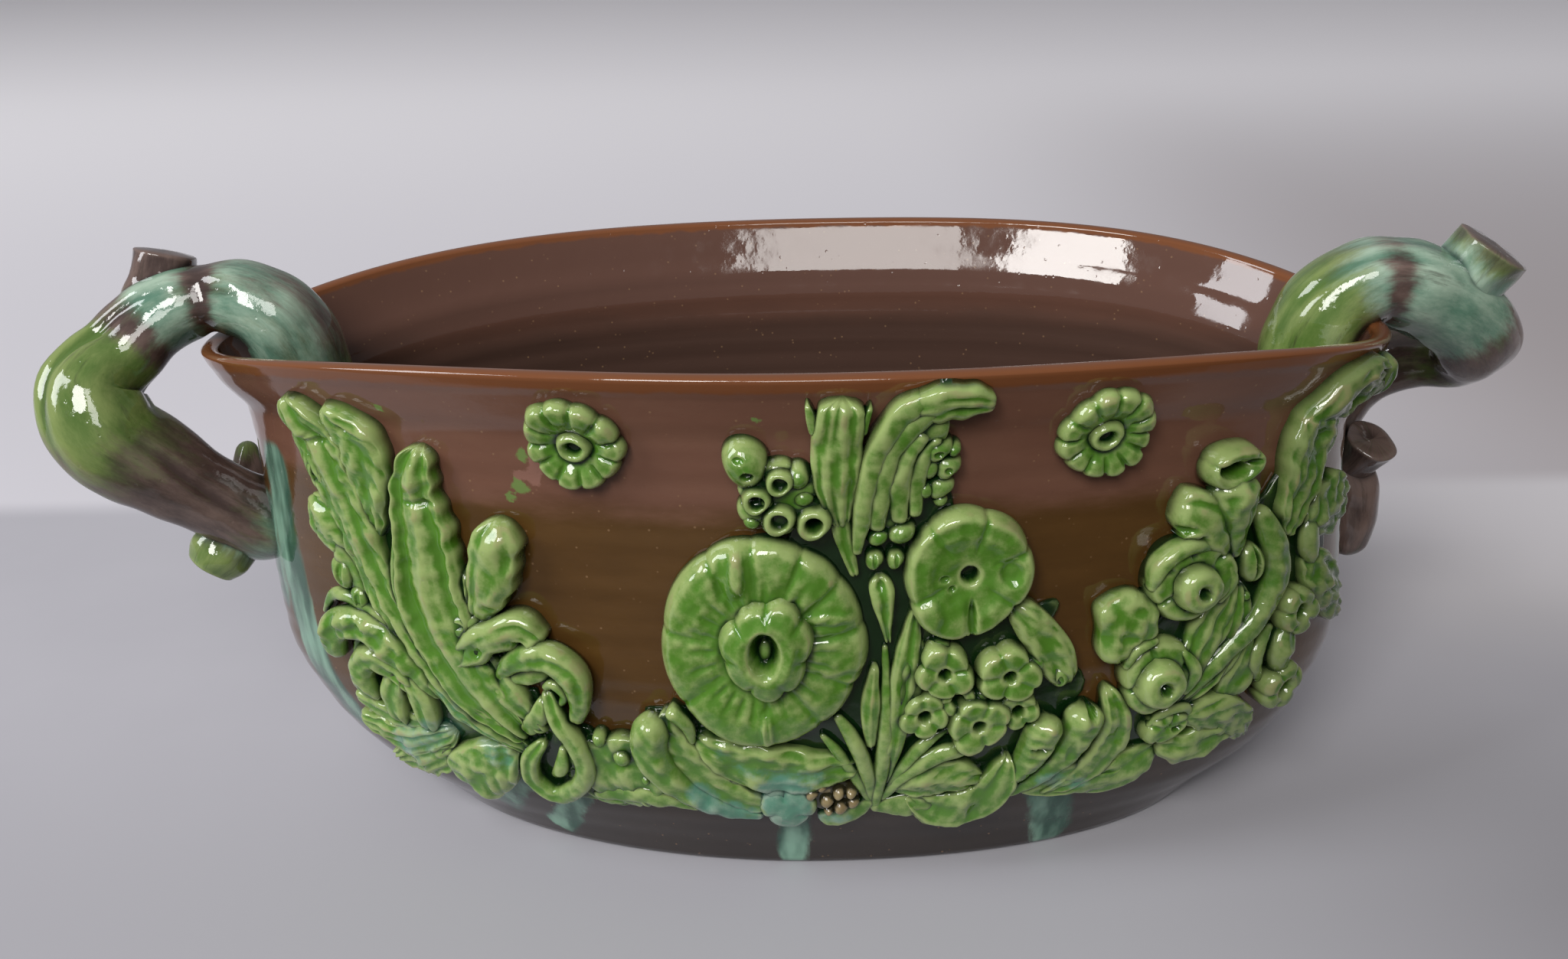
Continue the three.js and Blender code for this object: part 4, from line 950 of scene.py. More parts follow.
# The garland. Its pieces lie where the solids' do on the chart, with finer forms; the strokes are
# the turquoise patches where the glaze ran together at the bottom
turquoise_strokes = [
    ([(-13, 38), (-12, 27)], 8.0, 1.25), ([(-20, 26), (-34, 31), (-38, 38)], 4.5, 0.8),
    ([(-2, 44), (-24, 46), (-30, 52)], 3.0, 0.5), ([(-100, 44), (-112, 62)], 5.0, 0.45),
    ([(-120, 48), (-134, 40)], 7.0, 0.5), ([(66, 38), (78, 34)], 4.0, 0.55),
    ([(6, 26), (-20, 23)], 3.0, 0.6),
]


def garland(name, *forms, finish=None):
    """A piece of the garland, in green glaze unless another is given."""
    u, v, w = (np.concatenate([form[key] for form in forms]) for key in "uvw")
    # low marks points near the bowl's face, which get painted shade and pooled glaze at the forms' feet
    marks = {"teal": close_to(u, v, turquoise_strokes), "low": 1 - smooth(w, 0.4, 4.4)}
    make_piece("glazed_" + name, forms, finish or green_glaze, [name], marks)


def make_middle():
    garland("big_flower",
        bloom((-17, 86.5), (28.8, 33.8), (4.6, 4.7, 5, 5.8, 6.3, 5.7, 4),
            joins=(95, 66, 40, 12, -22, -52, -87, -145, 170, 122), notch=0.03, crease=0.6, dome=0.5,
            crease_from=0.4, wobble=0.014, veins=26, cut=1.1, pits=((-23, 111, 2.3, 8.5, -1.8),
            (-27.5, 108, 1.8, 7, 0.7), (-16, 61, 1.9, 7.5, -1.6), (1, 97, 8, 2, -0.8),
            (7, 79, 6, 1.8, 0.5), (-36, 74, 6, 7, 0.4))))
    garland("big_flower_cup",
        bloom((-15.5, 88), (13.2, 17), (5.2, 5.8, 6.6, 7, 6, 4.6, 3), petals=7, phase=38, notch=0.12,
            crease=0.3, dome=0.3, crease_from=0.6, seat=SEAT + 4.6, tip=0.3, wobble=0.04, cut=1.4,
            edge=0.2, pits=((-16, 88.4, 4.2, 7.4, 5.4),)),
        bead((-16, 87.6), (2.4, 4.4), 3.6, seat=SEAT + 3.6))
    garland("round_flower",
        bloom((38.5, 107.5), (18.3, 20.3), (3.2, 3.9, 4.6, 5.2, 6, 6, 4.4),
            joins=(205, 268, 325, 20, 72, 128), notch=0.06, crease=0.6, dome=0.5, crease_from=0.3,
            wobble=0.03, cut=1.1, pits=((39, 107.5, 2.6, 2.8, 5), (39.5, 94, 1.2, 7, 1.7),
            (50, 108, 3.6, 4.4, 1.6), (32, 107, 1.5, 1.2, 1), (34, 104, 1.1, 1, 0.9),
            (27, 96, 5, 6, -0.9))),
        cord([(47, 111.6, 3.6), (51, 112.6, 4.2), (54.4, 109.6, 4.2), (53.6, 105.6, 3.8),
            (49, 103.6, 3.4)], (0.7, 1.1, 1.2, 1.1, 0.7)))
    cups = ((-17.2, 132, 4.7), (-11.2, 137.4, 4.5), (-11.6, 126.2, 5.3), (-2.8, 125, 5.6))
    garland("berry_cluster",
        bloom((-11.5, 131.5), (12.4, 11.6), (3.4, 3.6, 3.4, 2), petals=6, notch=0.2, crease=0.6),
        bead((-20, 141.6), (6.4, 8), 6.2, 0.35, pits=((-19.4, 139.6, 1.8, 1.5, 2.2),
            (-21.4, 144.6, 1.6, 1.2, 0.9))),
        *[bloom((u, v), (r, r * 1.04), (1.6, 4, 6.4, 6.2, 4.2), seat=SEAT, wobble=0.05, edge=0.4,
            pits=((u + 0.3, v - 0.2, r * 0.42, r * 0.42, 3),)) for u, v, r in cups],
        bead((-6.6, 138), (3.8, 4.2), 5.6), bead((-5.2, 132), (3.4, 3.2), 5.2),
        bead((-18.6, 125), (3, 2.8), 4.6), bead((-14.6, 131), (2.4, 2.6), 5.6))
    garland("tulip_bud",
        blade([(4.8, 122.5), (3.4, 134), (3.6, 147), (4.8, 160)], (2, 5, 6.6, 6.8, 6.2, 5.4),
            (3, 4.8, 5.4, 5.2, 4.4, 3.2), point=0.5, uneven=0.5,
            ribs=((0.12, -1.5, 0.1), (-0.5, -1.3, 0.09), (0.6, -1.2, 0.09))),
        blade([(3.6, 130), (5.2, 120), (8.4, 107)], (3.2, 2.6, 1.2), (3.4, 3.2, 2),
            ribs=((0, -0.9, 0.2),)),
        blade([(-2, 150), (-2.9, 155), (-3.9, 159.4)], (1.3, 1.3, 0.6), (2.6, 2.4, 1.4), uneven=0.5),
        blade([(9.6, 150), (10.4, 154.4), (11.8, 158.4)], (1.3, 1.2, 0.6), (2.6, 2.4, 1.4), uneven=0.5))
    garland("tall_leaf",
        blade([(16, 119), (17.6, 133), (22, 146), (30, 157)], (5.4, 8.6, 8.6, 4.6),
            (2.8, 3.2, 3.2, 2.8), uneven=0.4),
        blade([(8.6, 114), (10.3, 127.8), (12.3, 139.8), (16, 150.6), (21.4, 158), (28, 161)],
            (1.2, 2.6, 3.1, 3.3, 3.2, 2), (3.4, 5, 6, 5.6, 4.2, 3.2), uneven=0.4, point=1),
        blade([(13.8, 121), (15.2, 136), (18.2, 146.4), (23.4, 154), (29, 158)],
            (2, 3.3, 3.4, 3.2, 1.8), (4, 5.2, 5.4, 4.4, 3.2), uneven=0.4, point=1),
        blade([(19.8, 123), (20, 136.4), (21.6, 144.4), (26, 152)], (2.2, 3.2, 3.1, 1.8),
            (4, 4.8, 5.2, 4.2), uneven=0.5, point=1),
        blade([(24.2, 125), (24.4, 136.4), (26, 143), (29.6, 150)], (1.6, 2.6, 2.6, 1.4),
            (3.4, 4.4, 4.6, 3.6), uneven=0.5, point=1),
        blade([(21, 157), (31, 159.4), (42.6, 158.6)], (3, 4.8, 4.4, 2), (3.4, 4.3, 4.1, 3),
            ribs=((-0.3, -1.5, 0.12), (0.35, -0.9, 0.12)), uneven=0.4, point=0.8, lobes=3, lobe=0.07))
    garland("bead_sprig",
        bead((29.6, 145), (4.6, 4.4), 4.6, wobble=0.08, pits=((29.8, 144.4, 1.4, 1.4, 1.2),)),
        bead((32.4, 139.6), (4.2, 4.2), 4.4, wobble=0.08, pits=((32.6, 139.2, 1.2, 1.2, 1),)),
        bead((30.8, 133.6), (4.2, 4), 4.2, wobble=0.08), bead((27.6, 139.6), (3.4, 4.2), 4.2),
        bead((34, 144.6), (2.4, 2.6), 3.6), bead((27, 133), (2.8, 3.2), 3.8),
        bead((31, 129.6), (2.4, 2.2), 3.2))
    garland("ball_pairs",
        bead((14.4, 119.6), (3.8, 3), 4.4, 0.4), bead((20.6, 120.8), (4.6, 3.8), 5.4, 0.3),
        bead((13.4, 112.8), (3, 3.4), 4.6, wobble=0.07, pits=((13.4, 113, 0.7, 2.4, 0.5),)),
        bead((19, 112.8), (3, 3.4), 4.6, wobble=0.07, pits=((19.2, 113, 0.7, 2.4, 0.5),)),
        blade([(14.8, 108), (15.8, 99), (17.4, 86)], (3.8, 3.4, 1.8, 0.8), (3.4, 4, 3.2, 1.8),
            ribs=((0, -1.2, 0.2), (0.6, 0.6, 0.2)), pits=((15, 105, 1.4, 1.6, 0.9),)))
    florets = ((32.4, 77.5, 9.2, 10, 0.8), (50.4, 75.6, 9.8, 40, 1.2), (42.4, 60.4, 9.8, 0, 1.4),
               (27.2, 64, 7.8, 25, 0.4), (36.4, 68.4, 6.4, 55, -0.4), (53.4, 63.4, 6.6, 15, -0.2))
    garland("floret_cluster",
        *[bloom((u, v), (r, r), (3.6, 4.4, 4.8, 4.9, 4.2), petals=5, phase=turned, notch=0.2,
            crease=0.7, dome=0.35, crease_from=0.2, cut=0.9, seat=SEAT + lift, wobble=0.06, edge=0.22,
            pits=((u, v, 1.9, 2, 3.6),)) for u, v, r, turned, lift in florets],
        blade([(22, 57), (22.4, 70), (25.4, 88)], (2.6, 4.2, 2.4), (2.4, 3.6, 2.6),
            ribs=((0, -0.8, 0.2),)),
        bead((43.4, 69), (3.2, 3), 4), bead((31.4, 85), (3.4, 3), 3.8))
    garland("side_leaf",
        blade([(51, 97.5), (58.6, 88), (64.6, 77), (68, 69)], (3.4, 5.6, 6, 3), (4, 5, 4.6, 3),
            ribs=((-0.15, -1.4, 0.14), (0.45, 1, 0.12), (-0.7, 0.9, 0.12)), veins=4, vein=0.4,
            uneven=0.6),
        bead((65.4, 73), (3.4, 4.4), 4.6, pits=((65, 72, 1, 2, 0.9),)),
        bead((58.4, 78.4), (3.2, 4.4), 4.4, 0.5))
    garland("notch_bud",
        cord([(62.4, 60.6, 2), (61.4, 54, 1.8), (58.4, 43, 1.2), (50.5, 31, 0.2)], (6.2, 5.4, 4, 1.6),
            groove=0.3, pits=((61, 51, 3.4, 1.1, 2.4), (63.6, 58.6, 2.2, 1.6, -0.7),
            (60, 60, 1.6, 1.2, 0.6)), point=0.8))
    garland("hollow_bud",
        cord([(74.2, 62.6, 1.8), (72.4, 54, 1.6), (67.6, 42, 1), (56.5, 29.4, 0.2)], (6.8, 5.4, 4, 1.6),
            groove=0.3, pits=((74.6, 61.4, 1.6, 2.2, 5), (70, 50, 1.4, 5, 0.5)), point=0.7))
    garland("cowl_leaf",
        cord([(-19.5, 26, 0.8), (-33, 31, 1.8), (-44.5, 40, 2.4), (-50.5, 52, 2.8), (-48, 63.6, 3)],
            (1.8, 4, 5.2, 5.8, 5.2), groove=0.5),
        blade([(-17, 30), (-30, 36), (-38.5, 46), (-43, 56), (-44.6, 65)], (2, 5.6, 6, 5, 3.4),
            (2.6, 4.2, 4.6, 4.4, 3.4), ribs=((0.05, -1, 0.2), (0.8, 0.9, 0.15)), uneven=0.5),
        cord([(-44, 66.5, 3.6), (-39, 61.6, 3.4), (-37.8, 54, 2)], (2.4, 2, 1)))
    garland("low_leaves",
        blade([(18, 36.5), (31, 41), (48, 38)], (1.4, 6, 7, 5.4, 1.4), (2.4, 4.4, 4.8, 4.4, 2.6),
            ribs=((0, 1, 0.1), (0.5, -0.8, 0.16), (-0.5, -0.6, 0.16)), veins=6, vein=0.45, uneven=0.5),
        blade([(24, 33.5), (37, 27), (48.5, 31), (53.5, 46.5)], (1.6, 6.2, 7.6, 6.4, 2),
            (2.8, 4, 4.6, 4.8, 3.4), ribs=((0.2, -1, 0.25), (-0.7, 1, 0.15)), uneven=0.5,
            pits=((46, 27, 2.4, 3, 1.4),)),
        blade([(13, 29), (26, 29.5), (38, 31)], (1.6, 4.4, 2), (2, 3, 2.2), uneven=0.5))
    garland("middle_stems",
        cord([(15, 27, 0.2), (16.4, 48, 1.4), (17, 68, 1.2), (16.4, 86, 0.4)], (1.8, 2.6, 2.2, 0.8)),
        cord([(14.4, 30, 0.2), (11.6, 45, 1.4), (7.6, 56, 1.4), (2.6, 64, 0.6)], (1.4, 2.6, 2.6, 1.2)),
        cord([(14.6, 29, 0.2), (8, 43, 1), (2.6, 52, 1), (-1.6, 57, 0.2)], (1.4, 2.2, 2, 0.8)),
        cord([(16.4, 31, 0.2), (24, 43, 1.4), (33, 50, 2), (46, 50.6, 0.8)], (1.4, 2.8, 3, 1.4)),
        cord([(17.4, 33, 0.2), (23, 46, 1.2), (29, 54, 1.2), (35.6, 57.6, 0.2)], (1.2, 2.2, 2.2, 0.8)),
        blade([(17.4, 38), (20, 60), (22.4, 82), (25, 98)], (1.2, 3.2, 3.8, 1.4), (2.4, 3.6, 3.8, 2.4),
            ribs=((0, -1, 0.16), (0.6, 0.5, 0.15)), uneven=0.5),
        blade([(12.8, 52), (12.4, 66), (13.6, 80)], (1.4, 2.8, 1.2), (2.6, 3.4, 2.4),
            ribs=((0, 0.6, 0.16),)))
    garland("under_leaf",
        blade([(-39, 56.5), (-24, 47.4), (-6, 44), (10.5, 46)], (2.8, 7, 8.8, 7.2, 2.4),
            (3, 4.6, 4.6, 4.2, 2.6), ribs=((0.1, -0.9, 0.14), (0.62, 0.8, 0.16), (-0.6, 0.5, 0.16)),
            veins=5, vein=0.3, uneven=0.7),
        blade([(-37, 44.6), (-23, 40.5), (-5, 39.6)], (1.2, 3.8, 1.4), (2, 3.2, 2), uneven=0.5))
    garland("garland_knot",
        bloom((-12, 30), (9.8, 9.4), (4, 4, 3.6, 2.2), joins=(100, 215, 330), notch=0.12, crease=0.7,
            cut=1.2, dome=0.5),
        blade([(-17, 40), (-14, 30), (-15, 20.5)], (2.6, 4.6, 2.6), (3, 3.8, 2.4), uneven=0.5),
        blade([(-3, 23.6), (7, 26), (15, 33)], (2.4, 3.6, 1.8), (2, 2.8, 2), uneven=0.5))
    seeds = ((-4.4, 36, 2.8), (0.2, 33.4, 3.0), (4.4, 31, 3.0), (8, 32.4, 2.6), (3.8, 36.4, 2.7),
             (7.4, 36.8, 2.3), (-1.4, 38.8, 2.1), (0.8, 29.8, 2.1))
    garland("seeds",
        *[bead((u, v), (r, r), 4.4 + 0.5 * (i % 3), wobble=0.06) for i, (u, v, r) in enumerate(seeds)],
        bloom((1.8, 34), (8.6, 6.2), (2.4, 2.2, 1.6)), finish=seed_glaze)


def make_left_spray():
    garland("acorn_bud",
        blade([(-88.8, 121.6), (-91, 107), (-97.5, 89)], (5, 7.4, 7.4, 5.4, 2.8),
            (4.4, 6.8, 6.8, 5.4, 3.2), ribs=((-0.5, -1, 0.12), (0.35, 0.5, 0.2)), point=0.9, uneven=0.5,
            pits=((-93, 95, 2.6, 1.6, 0.9), (-86, 112, 2, 5, 0.6))),
        bead((-103, 87.4), (7.8, 5.2), 5.2, 0.35, wobble=0.05, pits=((-104, 88, 3.4, 1.2, 1),)),
        bead((-101.4, 98), (3.8, 8), 4.4, -0.2, pits=((-101, 98, 1.2, 6, 1.2),)),
        bead((-95, 84.6), (4.4, 3.6), 4.8, -0.3))
    garland("upper_curl",
        blade([(-109, 73.4), (-100, 80.6), (-91, 86.8), (-83.6, 88), (-78.4, 84)],
            (2.6, 5, 5.4, 5, 3.4), (3.2, 5.6, 7, 6.8, 5), ribs=((0.25, -1.4, 0.16), (-0.55, 0.9, 0.14)),
            lobes=3, lobe=0.12, uneven=0.7, point=0.8, pits=((-97.6, 80.6, 1.8, 1.8, 1.4),
            (-87, 84.6, 2.6, 1.4, 1.2))),
        blade([(-106, 79), (-97, 87), (-88, 91)], (1.2, 2.4, 1.4), (2.6, 3.8, 2.8), uneven=0.5))
    garland("middle_curl",
        cord([(-95, 70, 0.8), (-86, 78.8, 3), (-76.6, 80.8, 4), (-70, 75.6, 4.2), (-69.2, 66, 3.4),
            (-72, 58.6, 1.8)], (1.6, 3.4, 4.4, 4.4, 3.4, 2), groove=1.3),
        cord([(-80.4, 69, 1.8), (-76.8, 71.2, 2.6), (-73.8, 68, 2.4), (-76, 63.6, 1.8)],
            (1, 1.7, 1.5, 0.9)),
        blade([(-91, 70), (-84, 73.4), (-77, 73)], (1.4, 3.2, 1.4), (2.4, 3.4, 2.2), uneven=0.6))
    garland("lower_curl",
        cord([(-79.5, 69, 1.6), (-76.8, 60, 3), (-72.6, 51, 3.2), (-72.6, 42, 3.2), (-79, 33.4, 2.6),
            (-88, 29.4, 2.2), (-92.4, 34, 2.4), (-90.4, 43, 3), (-83.6, 50.6, 2)],
            (1.8, 2.9, 3.3, 3.3, 3, 2.9, 3, 2.8, 1.5), groove=0.9),
        cord([(-78, 49, 1.6), (-80.4, 42, 2.4), (-85.4, 36.6, 1.6)], (1.2, 2.4, 1.2)),
        blade([(-90, 52), (-84, 58), (-80, 66)], (1.6, 3.2, 1.6), (2.4, 3.6, 2.4), uneven=0.6))
    garland("calla_leaf",
        blade([(-110.5, 142), (-113.6, 129), (-112.4, 114), (-111, 94), (-104, 72), (-89, 50)],
            (4.6, 7.8, 10.4, 11.6, 10.4, 8.4, 3), (3.4, 5, 5.8, 5.8, 5.2, 4.6, 2.6),
            ribs=((0.82, 1, 0.1), (0.5, -1.7, 0.16), (0.02, 1, 0.1), (-0.4, -1.8, 0.17),
            (-0.8, 1.6, 0.12)), uneven=0.4, point=0.9, pits=((-112.4, 133.6, 4.4, 5, -0.9),
            (-111.6, 126, 5.4, 1.2, 1))),
        cord([(-121.6, 116, 1.6), (-122, 99, 3), (-117.4, 80, 2.8), (-106, 62, 1.4)],
            (1, 1.9, 1.9, 0.9)),
        blade([(-101, 84), (-92, 68), (-82, 53)], (1.8, 4.6, 1.8), (2.6, 4, 2.4),
            ribs=((0, -1.1, 0.2), (0.6, 0.5, 0.2)), uneven=0.5))
    garland("long_leaf",
        blade([(-148.5, 156), (-144, 138), (-136.4, 118), (-129.5, 97), (-119.5, 76), (-107, 59),
            (-88, 44)], (7.4, 8.8, 7.4, 6.2, 5.4, 5.2, 4.8, 2), (3.8, 4.8, 4.8, 4.4, 4.2, 4, 3.8, 2.2),
            ribs=((0, 1.4, 0.09), (0.4, -1.1, 0.14), (-0.4, -1.1, 0.14), (0.85, 0.6, 0.1)), uneven=0.5,
            veins=14, vein=0.35, point=1, pits=((-146, 150, 3.6, 3.6, -0.8), (-143, 143, 5, 1.2, 0.8))),
        blade([(-135.6, 154), (-129.5, 142), (-128.5, 128), (-130.4, 109)], (4.4, 8, 7.4, 5, 1.6),
            (3.8, 5, 4.6, 3.8, 2.6), ribs=((0.1, -1, 0.16), (0.6, 0.7, 0.15), (-0.6, 0.5, 0.15)),
            veins=6, vein=0.5, uneven=0.6, pits=((-131, 149, 2.2, 1.2, 0.9),)),
        blade([(-124, 106), (-121, 92), (-114, 78), (-103, 65)], (1, 2.4, 2.4, 1), (3, 4.2, 4, 2.6)),
        cord([(-155.6, 146, 1.2), (-147.6, 134, 2.2), (-140, 118, 1.2)], (1, 2, 1)))
    garland("left_leaflets",
        bead((-147.4, 131.6), (4.6, 6.4), 4.6, 0.5, pits=((-147, 131, 1.2, 4.2, 1),)),
        blade([(-154, 123), (-146, 115), (-134, 104)], (3.4, 7.4, 6.6, 2.2), (3.4, 4.6, 4.2, 2.6),
            ribs=((0, 0.9, 0.12), (0.5, -0.9, 0.15), (-0.5, -0.9, 0.15)), veins=5, vein=0.5,
            uneven=0.6),
        bead((-143, 99), (4.4, 6.8), 5, 0.4, pits=((-142.6, 99, 1.2, 4.4, 1),)),
        bead((-137.4, 91.4), (3.8, 5), 4.6, 0.5, pits=((-137, 91, 1, 3, 0.8),)),
        blade([(-146, 126), (-142, 108), (-134, 86)], (2.4, 4.6, 2.4), (2.2, 3.2, 2.4), uneven=0.6))
    garland("curled_leaves",
        cord([(-115, 60, 0.4), (-127, 75.6, 1.8), (-138, 83, 2.6), (-148.5, 80, 2.8),
            (-152.6, 68, 1.8)], (1.8, 4.6, 5.6, 5.4, 3.6), groove=1.7, uneven=0.5),
        cord([(-118, 57.6, 0.4), (-129.5, 69, 1.8), (-136.5, 72, 2.4), (-141.8, 66, 2.4),
            (-140, 55, 1.4)], (1.6, 4, 4.6, 4.4, 2.8), groove=1.4, uneven=0.5),
        cord([(-121, 72, 0.4), (-133, 87, 1.6), (-149, 90, 1), (-156, 82, 0.6)], (1, 2.4, 2.4, 1)),
        cord([(-119, 66, 0.4), (-128, 77.6, 1.2), (-140, 77.4, 1.2), (-146, 68, 0.8)],
            (1, 1.8, 1.8, 0.9)))
    garland("twin_leaves",
        blade([(-127.4, 69.6), (-131.6, 60), (-133, 47)], (2.2, 4.2, 4, 1.6), (3.6, 5.2, 5, 2.6),
            ribs=((0.1, -1.2, 0.18), (0.7, 0.7, 0.15)), uneven=0.6),
        blade([(-125, 70), (-121.4, 59), (-122.4, 46.6)], (2.2, 4, 3.8, 1.6), (3.6, 5, 4.8, 2.6),
            ribs=((0, -1.2, 0.18),), uneven=0.6))
    garland("ball_leaf",
        blade([(-94.6, 45), (-108, 37), (-122.6, 27.6)], (3, 8, 9.6, 6.4), (3.4, 5.8, 6.2, 4.2),
            ribs=((0.1, -0.7, 0.12), (0.6, 0.5, 0.2)), veins=5, vein=0.4, uneven=0.7, point=1))
    garland("left_ruffle",
        blade([(-115, 48), (-136, 41.6), (-154, 46)], (3.6, 6.6, 3), (3.2, 4.6, 2.8), flutes=4,
            flute=0.55, lobes=4, lobe=0.1, uneven=0.7),
        blade([(-116, 42.6), (-132, 35), (-149, 31)], (3.4, 6, 2.6), (3.2, 4.6, 2.8), flutes=4,
            flute=0.55, lobes=4, lobe=0.12, uneven=0.7),
        blade([(-121.6, 51), (-136, 50.4), (-151, 54.6)], (2.2, 4.2, 1.8), (2.6, 3.6, 2.4), uneven=0.7,
            ribs=((0, -0.9, 0.2),)))
    garland("left_band",
        blade([(-82, 36), (-68, 39.5), (-58, 40.5), (-41, 34.4)], (6, 12.6, 13.4, 11, 3.6),
            (2.2, 3.4, 3.4, 2.2), uneven=0.9, ribs=((0.3, -0.8, 0.14), (-0.4, -0.7, 0.14))),
        bead((-60.2, 47.5), (3.4, 3.4), 4.8), bead((-66, 53), (2.6, 2.8), 3.8),
        bead((-54.6, 39.6), (2.2, 2.2), 4.2),
        blade([(-75, 30.6), (-58, 33), (-39, 28.6)], (1.4, 3.6, 1.4), (2.4, 3.8, 2.2), uneven=0.5))


